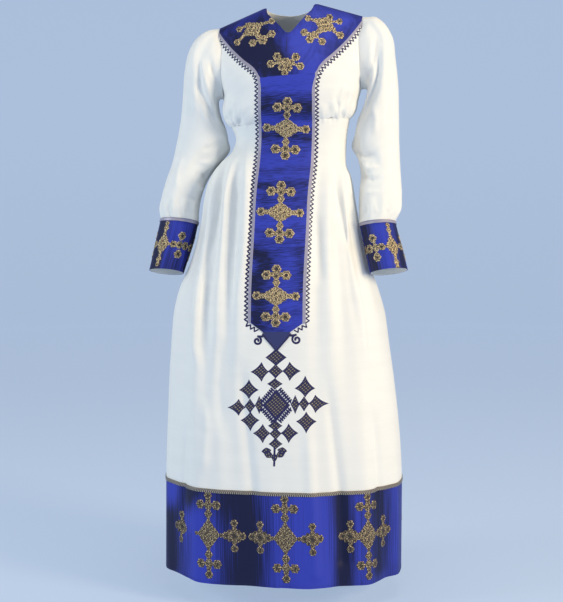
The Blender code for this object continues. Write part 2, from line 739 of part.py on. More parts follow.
def ring_point(ring, angle, lift):
    """A place on a ring of the sleeve, at an angle from its outer edge towards the front."""
    outer = np.array([ring.outer_x, ring.middle_y, ring.outer_z])
    inner = np.array([ring.inner_x, ring.middle_y, ring.inner_z])
    across = (outer - inner) / 2
    turn = math.radians(angle)
    out = math.cos(turn) * unit(across) + math.sin(turn) * np.array([0.0, -1.0, 0.0])
    place = (outer + inner) / 2 + math.cos(turn) * across
    place = place + math.sin(turn) * np.array([0.0, -ring.half_depth, ring.front_rise])
    return place + lift * out


def crease_lift(ring_number, angle):
    """Lift of the sleeve's creases at a ring and an angle."""
    total = 0.0
    for crease in SLEEVE_CREASES:
        along = (ring_number - crease.first_ring) / (crease.last_ring - crease.first_ring)
        overrun = max(-along, along - 1, 0.0) * abs(crease.last_ring - crease.first_ring)
        along = min(max(along, 0.0), 1.0)
        middle = crease.first_angle + (crease.last_angle - crease.first_angle) * along
        apart = abs((angle - middle + 180) % 360 - 180) / crease.half_width
        reach = overrun / CREASE_REACH
        if apart < 1 and reach < 1:
            total += crease.lift * (1 - apart**2) ** 2 * (1 - reach**2) ** 2
    return total


def sleeve_cloth(front, back, side):
    """A sleeve's grid, from the armhole to the cuff; the armhole's shape fades out over a few rings."""
    first, first_normals, away, front_count = armhole(front, back, side)
    total = len(first)
    middle = (first.min(axis=0) + first.max(axis=0)) / 2
    rings = SLEEVE_RINGS[side]
    edge = edge_angles(first, front_count)
    even = even_angles(front_count, total)
    rows = [first]
    for number, ring in enumerate(rings, start=1):
        row = []
        angles = edge + (even - edge) * min(number / EVEN_AFTER, 1.0)
        carried = max(1 - number / ARMHOLE_FADE, 0.0) ** 2
        centre = (ring_point(ring, 0.0, 0.0) + ring_point(ring, 180.0, 0.0)) / 2
        for index, angle in enumerate(angles):
            wave = 1 if index % 2 else -1
            lift = 0.0 if number == len(rings) else crease_lift(number, angle)
            if number == 2 and not 80 < angle < 280:
                lift += HEAD_GATHER * wave
            if number == len(rings) - 1:
                lift += CUFF_GATHER * wave
            place = ring_point(ring, angle, lift)
            row.append(place + carried * (first[index] + centre - middle - place))
        rows.append(np.array(row))
    step = rows[1] - first
    short = ARMHOLE_RISE * np.linalg.norm(step, axis=1) - (step * away).sum(axis=1)
    rows[1] += away * np.maximum(short, 0.0)[:, None]
    points = np.array(rows)
    return Cloth(points, tube_normals(points, first_normals)), total, front_count


def tube_normals(points, first_normals=None):
    """Outward normals of a grid whose columns close into rings."""
    wrapped = np.concatenate([points[:, -1:], points, points[:, :1]], axis=1)
    normals = surface_normals(wrapped)[:, 1:-1]
    out = points - points.mean(axis=1, keepdims=True)
    if (normals * out)[1:].sum() < 0:
        normals = -normals
    if first_normals is not None:
        normals[0] = first_normals
    return normals


def cuff_cloth(side, total, front_count):
    """A cuff's grid, from its seam to its open end."""
    rows = []
    for ring in CUFF_RINGS[side]:
        rows.append([ring_point(ring, angle, 0.0) for angle in even_angles(front_count, total)])
    points = np.array(rows)
    return Cloth(points, tube_normals(points))


def meet_at_cuff(sleeve, cuff):
    """Give the sleeve's last ring and the cuff's first the same normals, laid in the seam's plane."""
    ring = cuff.points[0]
    seam = unit(np.cross(ring[len(ring) // 4] - ring[0], ring[len(ring) // 2] - ring[0]))
    out = ring - ring.mean(axis=0)
    level = cuff.normals[0] - np.outer(cuff.normals[0] @ seam, seam)
    level /= np.linalg.norm(level, axis=1, keepdims=True)
    level *= np.sign((level * out).sum(axis=1, keepdims=True))
    cuff.normals[0] = level
    sleeve.normals[-1] = level
    sleeve.points[-1] += SEAM_GAP * unit(sleeve.points[-2].mean(axis=0) - sleeve.points[-1].mean(axis=0))


def between_rows(cloth, first, second, share):
    """A row of points and normals part of the way from one row of a cloth to another."""
    points = cloth.points[first] + (cloth.points[second] - cloth.points[first]) * share
    normals = cloth.normals[first] + (cloth.normals[second] - cloth.normals[first]) * share
    return points, normals / np.linalg.norm(normals, axis=-1, keepdims=True)


def narrowed(row, share):
    """A row's points drawn in towards its middle, along the row."""
    places = np.linspace(-1, 1, len(row)) * share
    knots = np.linspace(-1, 1, len(row))
    return np.stack([np.interp(places, knots, row[:, axis]) for axis in range(3)], axis=1)


def make_body(levels, front, back):
    """The midriff, skirt and hem band panels and the braid over the hem seam."""
    everything = slice(None)
    for name, top, bottom, finish in (
        ("midriff", UNDERBUST_SEAM, WAIST_SEAM, WHITE_COTTON),
        ("skirt", WAIST_SEAM, HEM_SEAM, WHITE_COTTON),
        ("hem_band", HEM_SEAM, HEM, BLUE_BROCADE),
    ):
        rows = slice(levels.index(top), levels.index(bottom) + 1)
        wall(f"{name}_front", front.part(rows, everything), finish)
        wall(f"{name}_back", back.part(rows, everything), finish)
    seam = levels.index(HEM_SEAM)
    ring = Cloth(
        np.concatenate([front.points[:, :-1], back.points[:, :-1]], axis=1),
        np.concatenate([front.normals[:, :-1], back.normals[:, :-1]], axis=1),
    )
    rows = []
    for neighbour in (seam - 1, seam, seam + 1):
        share = BRAID_HALF / abs(levels[neighbour] - HEM_SEAM) if neighbour != seam else 0.0
        rows.append(between_rows(ring, seam, neighbour, share))
    braid = Cloth(np.array([row[0] for row in rows]), np.array([row[1] for row in rows]))
    wall("hem_braid", braid, BRAID, lift=CLOTH + LAY_GAP, thickness=TRIM, closed=True, ease=0.0)


def make_trim(levels, body_front, bodice_front):
    """The yoke, the centre band with its tip, and the ribbons along them."""
    on_top = {"lift": CLOTH + LAY_GAP, "thickness": TRIM}
    yoke_edge = len(YOKE_SHARES)
    ribbon_edge = yoke_edge + 1
    middle = bodice_front.points.shape[1] // 2
    band = slice(middle - 3, middle + 4)
    wall("yoke", bodice_front.part(slice(0, yoke_edge + 1), slice(None)), BLUE_BROCADE, **on_top)

    body_middle = len(UNDER_BAND[-1]) + len(FRONT_FOLDS[-1]) + 1
    corner = levels.index(BAND_CORNER)
    end = levels.index(BAND_END)
    tip = levels.index(TIP_END)

    def long_strip(offsets, first_row, last_row):
        above = bodice_front.part(slice(first_row, None), slice(middle + offsets[0], middle + offsets[1]))
        below = body_front.part(slice(1, last_row), slice(body_middle + offsets[0], body_middle + offsets[1]))
        return Cloth(
            np.concatenate([above.points, below.points]), np.concatenate([above.normals, below.normals])
        )

    strip = long_strip((-3, 4), yoke_edge, end + 1)
    strip.points[-1] = narrowed(strip.points[-1], BAND_END_HALF / BAND_HALF)
    wall("centre_band", strip, BLUE_BROCADE, **on_top)

    columns = slice(body_middle - 3, body_middle + 4)
    tip_points = np.array(
        [
            narrowed(body_front.points[end, columns], BAND_END_HALF / BAND_HALF),
            narrowed(body_front.points[tip, columns], TIP_NOSE_HALF / BAND_HALF),
        ]
    )
    tip_cloth = Cloth(tip_points, body_front.normals[[end, tip], columns])
    wall("band_tip", tip_cloth, PLAIN_BLUE, **on_top)

    for name, side in SIDES.items():
        offsets = (3, 5) if side > 0 else (-4, -2)
        wall(f"band_ribbon_{name}", long_strip(offsets, ribbon_edge, corner + 1), SILVER_RIBBON, **on_top)
        columns = slice(band.stop - 1, None) if side > 0 else slice(None, band.start + 1)
        slant = bodice_front.part(slice(yoke_edge, ribbon_edge + 1), columns)
        wall(f"yoke_ribbon_{name}", slant, SILVER_RIBBON, **on_top)


def make_sleeve(name, side, front, back):
    """A sleeve, its cuff and the ribbon round the cuff's top."""
    sleeve, total, front_count = sleeve_cloth(front, back, side)
    cuff = cuff_cloth(side, total, front_count)
    meet_at_cuff(sleeve, cuff)
    wall(f"sleeve_{name}", sleeve, WHITE_COTTON, closed=True, ease=0.0)
    wall(f"cuff_{name}", cuff, BLUE_BROCADE, closed=True)
    rows = [between_rows(cuff, 0, 1, share) for share in (0.02, 0.02 + RIBBON / 42)]
    ribbon = Cloth(np.array([row[0] for row in rows]), np.array([row[1] for row in rows]))
    on_top = {"lift": CLOTH + LAY_GAP, "thickness": TRIM}
    wall(f"cuff_ribbon_{name}", ribbon, SILVER_RIBBON, closed=True, ease=0.0, **on_top)


def main():
    """Build the dress."""
    for thing in list(bpy.data.objects):
        bpy.data.objects.remove(thing, do_unlink=True)
    collection = bpy.data.collections.new("habesha_kemis")
    bpy.context.scene.collection.children.link(collection)

    levels, body_front, body_back = lower_body()
    bodice_front, bodice_back = bodice()
    make_body(levels, body_front, body_back)
    wall("bodice_front", bodice_front, WHITE_COTTON)
    wall("bodice_back", bodice_back, WHITE_COTTON)
    make_trim(levels, body_front, bodice_front)
    for name, side in SIDES.items():
        make_sleeve(name, side, bodice_front, bodice_back)


main()
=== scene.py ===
"""A finished habesha kemis dress: creased cotton, brocade trims and embroidery, with light and camera."""

import logging
import math
from dataclasses import dataclass, field
from enum import Enum
from typing import Callable, Optional, Sequence

import bmesh
import bpy
import numpy as np
from mathutils import Euler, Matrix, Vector
from mathutils.bvhtree import BVHTree


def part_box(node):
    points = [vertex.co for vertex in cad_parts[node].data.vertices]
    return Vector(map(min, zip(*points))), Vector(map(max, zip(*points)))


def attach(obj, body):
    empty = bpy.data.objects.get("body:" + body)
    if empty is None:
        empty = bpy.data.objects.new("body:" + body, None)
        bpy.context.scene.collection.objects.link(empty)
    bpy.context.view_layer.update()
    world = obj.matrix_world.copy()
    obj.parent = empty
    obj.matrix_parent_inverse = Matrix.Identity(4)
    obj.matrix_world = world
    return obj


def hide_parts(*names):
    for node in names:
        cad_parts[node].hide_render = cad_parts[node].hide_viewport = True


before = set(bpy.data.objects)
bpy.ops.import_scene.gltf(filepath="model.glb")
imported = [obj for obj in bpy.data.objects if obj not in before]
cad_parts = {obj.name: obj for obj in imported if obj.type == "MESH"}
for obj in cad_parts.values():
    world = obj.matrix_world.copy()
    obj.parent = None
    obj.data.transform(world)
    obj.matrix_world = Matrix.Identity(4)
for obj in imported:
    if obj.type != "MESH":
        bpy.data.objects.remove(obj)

log = logging.getLogger("dress")

MM = 0.001
WELD = 2e-5
CLOTH = 1.5 * MM
TRIM = 1.2 * MM
TRIM_TOP = 1.6 * MM
SPACING = 5.0 * MM
PIXEL = 2.45
CREASE_DEPTH = 2.6
SKEW_MARGIN = 0.1
Place = Callable[[np.ndarray], tuple[np.ndarray, np.ndarray]]


class Finish(Enum):
    """The looks of the dress."""

    COTTON = "white_cotton"
    BROCADE_UPRIGHT = "brocade_upright"
    BROCADE_ACROSS = "brocade_across"
    BROCADE_YOKE = "brocade_yoke"
    PLAIN_BLUE = "plain_blue"
    SILVER = "silver_ribbon"
    GOLD = "gold_thread"
    GOLD_HEM = "gold_thread_hem"
    GOLD_HEART = "dark_heart"
    NAVY = "navy_thread"
    HATCH = "olive_hatching"
    BRAID = "braid"
    FLOOR = "floor"


class Value:
    """A number or a socket in a shader, with arithmetic."""

    def __init__(self, graph: "Graph", source: object) -> None:
        """Wrap a source.

        Args:
            graph: the shader that the value belongs to.
            source: a node's output socket.
        """
        self.graph = graph
        self.source = source

    def __add__(self, other: object) -> "Value":
        """Return the sum."""
        return self.graph.math("ADD", self, other)

    def __radd__(self, other: object) -> "Value":
        """Return the sum."""
        return self.graph.math("ADD", other, self)

    def __sub__(self, other: object) -> "Value":
        """Return the difference."""
        return self.graph.math("SUBTRACT", self, other)

    def __rsub__(self, other: object) -> "Value":
        """Return the difference."""
        return self.graph.math("SUBTRACT", other, self)

    def __mul__(self, other: object) -> "Value":
        """Return the product."""
        return self.graph.math("MULTIPLY", self, other)

    def __rmul__(self, other: object) -> "Value":
        """Return the product."""
        return self.graph.math("MULTIPLY", other, self)

    def __truediv__(self, other: object) -> "Value":
        """Return the quotient."""
        return self.graph.math("DIVIDE", self, other)

    def clamped(self) -> "Value":
        """Return the value held between 0 and 1."""
        return self.graph.math("MAXIMUM", self.graph.math("MINIMUM", self, 1.0), 0.0)


class Graph:
    """A material that is built node by node."""

    def __init__(self, name: str) -> None:
        """Start an empty material with a Principled shader.

        Args:
            name: the material's name.
        """
        self.material = bpy.data.materials.new(name)
        self.material.use_nodes = True
        self.tree = self.material.node_tree
        self.shader = self.tree.nodes["Principled BSDF"]

    def make(
        self, kind: str, settings: Optional[dict] = None, inputs: Optional[dict] = None
    ) -> bpy.types.Node:
        """Make a node.

        Args:
            kind: the node's type, without its ShaderNode prefix.
            settings: properties to set on the node.
            inputs: values or sockets by input name or number.

        Returns:
            The new node.
        """
        node = self.tree.nodes.new(f"ShaderNode{kind}")
        for key, setting in (settings or {}).items():
            setattr(node, key, setting)
        for key, value in (inputs or {}).items():
            self.feed(node.inputs[key], value)
        return node

    def feed(self, socket: bpy.types.NodeSocket, value: object) -> None:
        """Link a value to a socket, or set the socket to a constant.

        Args:
            socket: the input.
            value: a Value or a constant.
        """
        if isinstance(value, Value):
            self.tree.links.new(value.source, socket)
        else:
            socket.default_value = value

    def math(self, operation: str, first: object, second: object = 0.0) -> Value:
        """Return the result of a Math node."""
        node = self.make("Math", {"operation": operation}, {0: first, 1: second})
        return Value(self, node.outputs[0])

    def mix(self, share: object, first: Sequence[float], second: Sequence[float]) -> Value:
        """Return a blend of two colours.

        Args:
            share: 0 for the first colour, 1 for the second.
            first: a colour or a Value.
            second: a colour or a Value.
        """
        ends = [end if isinstance(end, Value) else (*end, 1.0) for end in (first, second)]
        node = self.make("Mix", {"data_type": "RGBA"}, {0: share, 6: ends[0], 7: ends[1]})
        return Value(self, node.outputs[2])

    def cloth(self, across: float, along: float) -> Value:
        """Return the cloth's own coordinates in metres, stretched by two factors."""
        uv = self.make("UVMap", {"uv_map": "cloth"})
        node = self.make(
            "VectorMath", {"operation": "MULTIPLY"}, {0: Value(self, uv.outputs[0]), 1: (across, along, 1.0)}
        )
        return Value(self, node.outputs[0])

    def noise(self, vector: Value, scale: float = 1.0, detail: float = 2.0) -> Value:
        """Return a noise pattern from 0 to 1."""
        node = self.make("TexNoise", None, {"Vector": vector, "Scale": scale, "Detail": detail})
        return Value(self, node.outputs[0])

    def bump(self, height: Value, strength: float, distance: float) -> None:
        """Roughen the shader's surface.

        Args:
            height: the relief.
            strength: from 0 to 1.
            distance: the relief's height in metres.
        """
        node = self.make("Bump", None, {"Strength": strength, "Distance": distance, "Height": height})
        self.tree.links.new(node.outputs[0], self.shader.inputs["Normal"])

    def set(self, **inputs: object) -> bpy.types.Material:
        """Set the shader's inputs, with _ for a space in their names, and return the material."""
        for key, value in inputs.items():
            self.feed(self.shader.inputs[key.replace("_", " ")], value)
        return self.material


@dataclass(frozen=True)
class Palette:
    """Makes the materials, in scene-linear colours."""

    cotton_light: tuple = (0.86, 0.86, 0.84)
    cotton_shade: tuple = (0.76, 0.77, 0.755)
    # blue_light and blue_shade are the blue cloth lit and in shade; the brocade blends them as painted sheen
    # and painted shade.
    blue_light: tuple = (0.034, 0.052, 0.44)
    blue_shade: tuple = (0.007, 0.010, 0.05)
    # gold_light is the thread's painted glint colour and gold_shade the painted shade between its loops.
    gold_light: tuple = (0.74, 0.58, 0.33)
    gold_shade: tuple = (0.062, 0.046, 0.036)
    navy: tuple = (0.010, 0.010, 0.06)

    def cotton(self) -> bpy.types.Material:
        """Return thin handwoven cotton with fine weft slubs."""
        graph = Graph(Finish.COTTON.value)
        weft = graph.noise(graph.cloth(16.0, 760.0), detail=3.0)
        warp = graph.noise(graph.cloth(900.0, 30.0), detail=1.0)
        clouds = graph.noise(graph.cloth(7.0, 40.0), detail=3.0)
        tone = (0.5 * weft + 0.7 * clouds - 0.1).clamped()
        graph.bump(weft + 0.5 * warp, 0.22, 0.0005)
        return graph.set(
            Base_Color=graph.mix(tone, self.cotton_shade, self.cotton_light), Roughness=0.72, Sheen_Weight=0.2
        )

    def brocade(self, finish: Finish, across: float, along: float, relief: float = 1.0) -> bpy.types.Material:
        """Return ribbed blue taffeta, its colour blended between the blue lit and in shade by painted sheen
        and painted shade.

        Args:
            finish: which of the two it is.
            across: how quickly it changes across the cloth.
            along: how quickly it changes along the cloth.
            relief: how strong its ribs are.
        """
        graph = Graph(finish.value)
        ribs = graph.noise(graph.cloth(across, along), detail=2.0)
        # The broad streaks are painted sheen, laid at random along the cloth.
        painted_sheen_streaks = graph.noise(graph.cloth(across / 34, along / 6), detail=1.0)
        # The tone attribute brings painted sheen (above 0) and painted shade (below 0), laid along lines.
        painted_light = Value(graph, graph.make("Attribute", {"attribute_name": "tone"}).outputs[2])
        tone = (1.9 * relief * (ribs - 0.5) + 1.2 * painted_sheen_streaks + painted_light - 0.04).clamped()
        graph.bump(ribs, 0.35 * relief, 0.0007)
        return graph.set(
            Base_Color=graph.mix(tone, self.blue_shade, self.blue_light), Roughness=(0.66 - 0.22 * ribs),
            Specular_IOR_Level=0.22,
        )

    def plain(self, finish: Finish, colour: tuple, roughness: float, metallic: float) -> bpy.types.Material:
        """Return plain ribbed cloth or thread.

        Args:
            finish: its name.
            colour: its colour.
            roughness: from 0 to 1.
            metallic: from 0 to 1.
        """
        graph = Graph(finish.value)
        ribs = graph.noise(graph.cloth(1100.0, 260.0), detail=1.0)
        dark = tuple(0.72 * part for part in colour)
        graph.bump(ribs, 0.3, 0.0003)
        return graph.set(Base_Color=graph.mix(ribs, dark, colour), Roughness=roughness, Metallic=metallic)

    def gold(self, finish: Finish, glitter: float) -> bpy.types.Material:
        """Return couched gold thread, with small loops that glitter as painted glints.

        Args:
            finish: which of the two it is.
            glitter: how much of it is bright with painted glints.
        """
        graph = Graph(finish.value)
        loops = graph.noise(graph.cloth(330.0, 330.0), detail=2.0)
        knots = graph.noise(graph.cloth(1100.0, 1100.0), detail=1.0)
        # Bright speckles are painted glints of the metal thread; dark speckles are painted shade in the gaps
        # between the loops.
        tone = (7.0 * loops + 2.5 * knots - 5.2 + glitter).clamped()
        graph.bump(loops + knots, 0.7, 0.0009)
        return graph.set(
            Base_Color=graph.mix(tone, self.gold_shade, self.gold_light),
            Metallic=0.45,
            Roughness=(0.55 - 0.2 * knots),
        )

    def hatch(self) -> bpy.types.Material:
        """Return navy stitches with slanting olive-gold ones between."""
        graph = Graph(Finish.HATCH.value)
        uv = graph.make("UVMap", {"uv_map": "cloth"})
        parts = graph.make("SeparateXYZ", None, {0: Value(graph, uv.outputs[0])})
        across = Value(graph, parts.outputs[0])
        along = Value(graph, parts.outputs[1])
        slant = graph.math("SINE", (0.8 * across + along) * 880.0)
        rows = graph.math("SINE", (across - along) * 620.0)
        tone = (1.2 * slant + 0.8 * rows - 1.0 + graph.noise(graph.cloth(500.0, 500.0))).clamped()
        graph.bump(tone, 0.5, 0.0005)
        return graph.set(Base_Color=graph.mix(tone, self.navy, (0.30, 0.25, 0.13)), Roughness=0.6)

    def braid(self) -> bpy.types.Material:
        """Return grey-gold braid with dark twisted strands."""
        graph = Graph(Finish.BRAID.value)
        uv = graph.make("UVMap", {"uv_map": "cloth"})
        parts = graph.make("SeparateXYZ", None, {0: Value(graph, uv.outputs[0])})
        across = Value(graph, parts.outputs[0])
        along = Value(graph, parts.outputs[1])
        twist = graph.math("SINE", (across + 0.8 * along) * 1250.0)
        tone = (1.1 * twist + 1.6 * graph.noise(graph.cloth(520.0, 520.0)) - 0.45).clamped()
        graph.bump(tone, 0.5, 0.0006)
        return graph.set(
            Base_Color=graph.mix(tone, (0.03, 0.03, 0.045), (0.42, 0.37, 0.30)), Roughness=0.5, Metallic=0.3
        )

    def all(self) -> dict:
        """Return every material by its finish."""
        return {
            Finish.COTTON: self.cotton(),
            Finish.BROCADE_UPRIGHT: self.brocade(Finish.BROCADE_UPRIGHT, 430.0, 5.0),
            Finish.BROCADE_ACROSS: self.brocade(Finish.BROCADE_ACROSS, 40.0, 330.0),
            Finish.BROCADE_YOKE: self.brocade(Finish.BROCADE_YOKE, 60.0, 60.0, 0.45),
            Finish.PLAIN_BLUE: self.plain(Finish.PLAIN_BLUE, (0.024, 0.034, 0.15), 0.7, 0.0),
            Finish.SILVER: self.plain(Finish.SILVER, (0.40, 0.38, 0.50), 0.5, 0.3),
            Finish.GOLD: self.gold(Finish.GOLD, 0.85),
            Finish.GOLD_HEM: self.gold(Finish.GOLD_HEM, 0.4),
            Finish.GOLD_HEART: self.plain(Finish.GOLD_HEART, (0.035, 0.027, 0.03), 0.7, 0.0),
            Finish.NAVY: self.plain(Finish.NAVY, (0.010, 0.011, 0.095), 0.7, 0.0),
            Finish.HATCH: self.hatch(),
            Finish.BRAID: self.braid(),
            Finish.FLOOR: Graph(Finish.FLOOR.value).set(
                Base_Color=(0.22, 0.27, 0.34, 1.0), Roughness=0.9, Emission_Color=(0.418, 0.521, 0.694, 1.0),
                Emission_Strength=0.73,
            ),
        }


@dataclass(frozen=True)
class Viewpoint:
    """The photo's camera; its points are pixels of the photo."""

    turn: float = 6.0
    pitch: float = 4.9
    distance: float = 3.2
    focal: float = 1306.0
    width: float = 563.0
    height: float = 602.0

    def place(self) -> Vector:
        """Return where the camera stands."""
        turn = math.radians(self.turn)
        back = Vector((math.sin(turn), -math.cos(turn), 0.0)) * self.distance
        aside = Vector((math.cos(turn), math.sin(turn), 0.0)) * -0.0229
        return back + aside + Vector((0.0, 0.0, -0.416))

    def rotation(self) -> Euler:
        """Return how the camera is turned."""
        return Euler((math.radians(90.0 - self.pitch), 0.0, math.radians(self.turn)))

    def ray(self, pixel: Sequence[float]) -> Vector:
        """Return the direction in which a pixel looks.

        Args:
            pixel: its x and y in the photo.
        """
        x = (pixel[0] - self.width / 2) / self.focal
        y = -(pixel[1] - self.height / 2) / self.focal
        return (self.rotation().to_matrix() @ Vector((x, y, -1.0))).normalized()

    def build(self) -> None:
        """Add the camera to the scene."""
        data = bpy.data.cameras.new("camera")
        data.lens = 36.0 * self.focal / self.height
        data.sensor_width = 36.0
        data.dof.use_dof = False
        camera = bpy.data.objects.new("camera", data)
        camera.location = self.place()
        camera.rotation_euler = self.rotation()
        bpy.context.scene.collection.objects.link(camera)
        bpy.context.scene.camera = camera


class WallReader:
    """Reads a packed wall back as the grid of points on its outer face."""

    def __init__(self, node: str) -> None:
        """Weld the node's triangles.

        Args:
            node: the CAD node's name.
        """
        self.node = node
        work = bmesh.new()
        work.from_mesh(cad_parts[node].data)
        bmesh.ops.remove_doubles(work, verts=work.verts, dist=WELD)
        work.verts.index_update()
        self.places = np.array([vert.co[:] for vert in work.verts])
        self.thirds: dict = {}
        for face in work.faces:
            a, b, c = (vert.index for vert in face.verts)
            for first, second, third in ((a, b, c), (b, c, a), (c, a, b)):
                self.thirds.setdefault(frozenset((first, second)), []).append(third)
        work.free()

    def other(self, first: int, second: int, known: int) -> Optional[int]:
        """Return the far corner of the triangle across an edge from a known one."""
        found = [third for third in self.thirds.get(frozenset((first, second)), ()) if third != known]
        return found[0] if len(found) == 1 else None

    def walk(self, cell: tuple, rows: int, columns: int, closed: bool) -> Optional[np.ndarray]:
        """Follow the cells of one face of the wall.

        Args:
            cell: the corners of the first cell: top left, bottom left, bottom right, top right.
            rows: how many rows of points there are.
            columns: how many columns of points there are.
            closed: whether the rows close into rings.

        Returns:
            The points' numbers, or None where the cells don't follow on.
        """
        grid = np.full((rows, columns), -1)
        across = columns if closed else columns - 1
        first = cell
        for row in range(rows - 1):
            cell = first
            for column in range(across):
                a, b, c, d = cell
                right = (column + 1) % columns
                for place, vertex in (
                    ((row, column), a), ((row + 1, column), b), ((row + 1, right), c), ((row, right), d)
                ):
                    if vertex is None or grid[place] not in (-1, vertex):
                        return None
                    grid[place] = vertex
                if column < across - 1:
                    corner = self.other(d, c, a)
                    if corner is None:
                        return None
                    cell = (d, c, corner, self.other(d, corner, c))
            if row < rows - 2:
                a, b, c, d = first
                corner = self.other(b, c, a)
                if corner is None:
                    return None
                first = (b, self.other(b, corner, c), corner, c)
        return grid if len(np.unique(grid)) == grid.size else None

    def read(self, rows: int, columns: int, start: tuple, closed: bool = False) -> tuple[np.ndarray, float]:
        """Find the outer face.

        Args:
            rows: how many rows of points there are.
            columns: how many columns of points there are.
            start: about where the first point lies, in millimetres.
            closed: whether the rows close into rings.

        Returns:
            The outer face's points and 1 or -1 for the way that its normals point.
        """
        near = np.argsort(np.linalg.norm(self.places - np.array(start) * MM, axis=1))[:6]
        found = []
        for a in near:
            for edge, thirds in self.thirds.items():
                if a not in edge or len(thirds) != 2:
                    continue
                c = next(iter(edge - {a}))
                for b, d in (thirds, thirds[::-1]):
                    grid = self.walk((a, b, c, d), rows, columns, closed)
                    if grid is not None:
                        found.append(self.places[grid])
        if len(found) < 2:
            raise ValueError(f"{self.node} has no grid of {rows} by {columns} points")
        least = min(grid_skew(grid) for grid in found)
        square = [grid for grid in found if grid_skew(grid) < least + SKEW_MARGIN]
        found = sorted(square, key=grid_area)
        outer, inner = found[-1], found[0]
        sense = np.sign((grid_normals(outer, closed) * (outer - inner)).sum())
        return outer, sense


def grid_skew(points: np.ndarray) -> float:
    """Return how far a grid's cells are from square corners, from 0 to 1."""
    across = np.diff(points, axis=1)[:-1]
    down = np.diff(points, axis=0)[:, :-1]
    lengths = np.linalg.norm(across, axis=-1) * np.linalg.norm(down, axis=-1)
    return float(np.abs((across * down).sum(axis=-1) / lengths).mean())


def grid_area(points: np.ndarray) -> float:
    """Return the area of a grid of points in square metres."""
    down = np.diff(points[:, :-1], axis=0)
    across = np.diff(points[:-1], axis=1)
    return float(np.linalg.norm(np.cross(down, across), axis=-1).sum())


def grid_normals(points: np.ndarray, closed: bool) -> np.ndarray:
    """Return the unit normals of a grid whose columns run to the right as seen from outside."""
    if closed:
        points = np.concatenate([points[:, -1:], points, points[:, :1]], axis=1)
    normals = np.cross(np.gradient(points, axis=0), np.gradient(points, axis=1))
    if closed:
        normals = normals[:, 1:-1]
    return normals / np.maximum(np.linalg.norm(normals, axis=-1, keepdims=True), 1e-12)


def refined(points: np.ndarray, counts: Sequence[int], closed: bool = False) -> np.ndarray:
    """Run smooth lines through the points down each column.

    Args:
        points: rows of points.
        counts: how many steps each gap between rows is divided into.
        closed: whether the last row leads back to the first.

    Returns:
        More rows of points.
    """
    if closed:
        points = np.concatenate([points[-1:], points, points[:2]])
    steps = np.diff(points, axis=0)
    spans = np.maximum(np.linalg.norm(steps, axis=-1, keepdims=True), 1e-9)
    slopes = steps / spans
    tangents = np.empty_like(points)
    tangents[1:-1] = (spans[1:] * slopes[:-1] + spans[:-1] * slopes[1:]) / (spans[1:] + spans[:-1])
    tangents[0] = slopes[0]
    tangents[-1] = slopes[-1]
    offset = 1 if closed else 0
    rows = []
    for number, count in enumerate(counts):
        first = number + offset
        for step in range(count):
            t = step / count
            rows.append(
                (1 + 2 * t) * (1 - t) ** 2 * points[first]
                + t * (1 - t) ** 2 * spans[first] * tangents[first]
                + t * t * (3 - 2 * t) * points[first + 1]
                - t * t * (1 - t) * spans[first] * tangents[first + 1]
            )
    if not closed:
        rows.append(points[-1])
    return np.array(rows)


@dataclass
class Form:
    """A smooth form that follows a CAD grid: its outer points, and where the CAD's rows and columns lie."""

    points: np.ndarray
    rows: list
    columns: list
    closed: bool
    sense: float = 1.0

    @classmethod
    def over(cls, grid: np.ndarray, closed: bool, sense: float, fixed: Optional[dict] = None) -> "Form":
        """Make a form over a CAD grid.

        Args:
            grid: the CAD's points.
            closed: whether the rows close into rings.
            sense: 1 where the columns run to the right as seen from outside, else -1.
            fixed: how many steps some of the gaps between columns are divided into.
        """
        down = np.linalg.norm(np.diff(grid, axis=0), axis=-1).mean(axis=1)
        ring = np.concatenate([grid, grid[:, :1]], axis=1) if closed else grid
        across = np.linalg.norm(np.diff(ring, axis=1), axis=-1)
        across = across.mean(axis=0) * 0.4 + across.max(axis=0) * 0.6
        row_counts = [max(2, math.ceil(length / SPACING)) for length in down]
        column_counts = [max(2, math.ceil(length / SPACING)) for length in across]
        for column, count in (fixed or {}).items():
            column_counts[column] = count
        points = refined(grid, row_counts)
        points = refined(points.transpose(1, 0, 2), column_counts, closed).transpose(1, 0, 2)
        rows = [0, *np.cumsum(row_counts)]
        columns = [0, *np.cumsum(column_counts)]
        return cls(points, [int(row) for row in rows], [int(column) for column in columns], closed, sense)

    def normals(self) -> np.ndarray:
        """Return the outward normals."""
        return grid_normals(self.points, self.closed) * self.sense

    def crease(self, creases: Sequence["Crease"], surface: "Surface") -> None:
        """Raise and sink the form along its creases.

        Args:
            creases: the creases.
            surface: what the creases' points are cast onto.
        """
        lift = np.zeros(self.points.shape[:2])
        for crease in creases:
            lift += crease.lift_at(self.points, crease.line(surface))
        self.points = self.points + CREASE_DEPTH * lift[..., None] * self.normals()

    def panel(self, name: str, rows: slice, columns: slice, **options: object) -> "Sheet":
        """Cut a sheet out of the form.

        Args:
            name: the sheet's name.
            rows: CAD rows, the last one included.
            columns: CAD columns, the last one included.
            options: the sheet's other fields.
        """
        picked = np.arange(self.rows[rows.start], self.rows[rows.stop] + 1)
        count = self.points.shape[1]
        last = self.columns[columns.stop]
        places = np.arange(self.columns[columns.start], last + 1) % count
        closed = self.closed and columns.start == 0 and last == count
        if closed:
            places = places[:-1]
        cut = np.ix_(picked, places)
        return Sheet(name, self.points[cut], self.normals()[cut], closed, self.sense, **options)


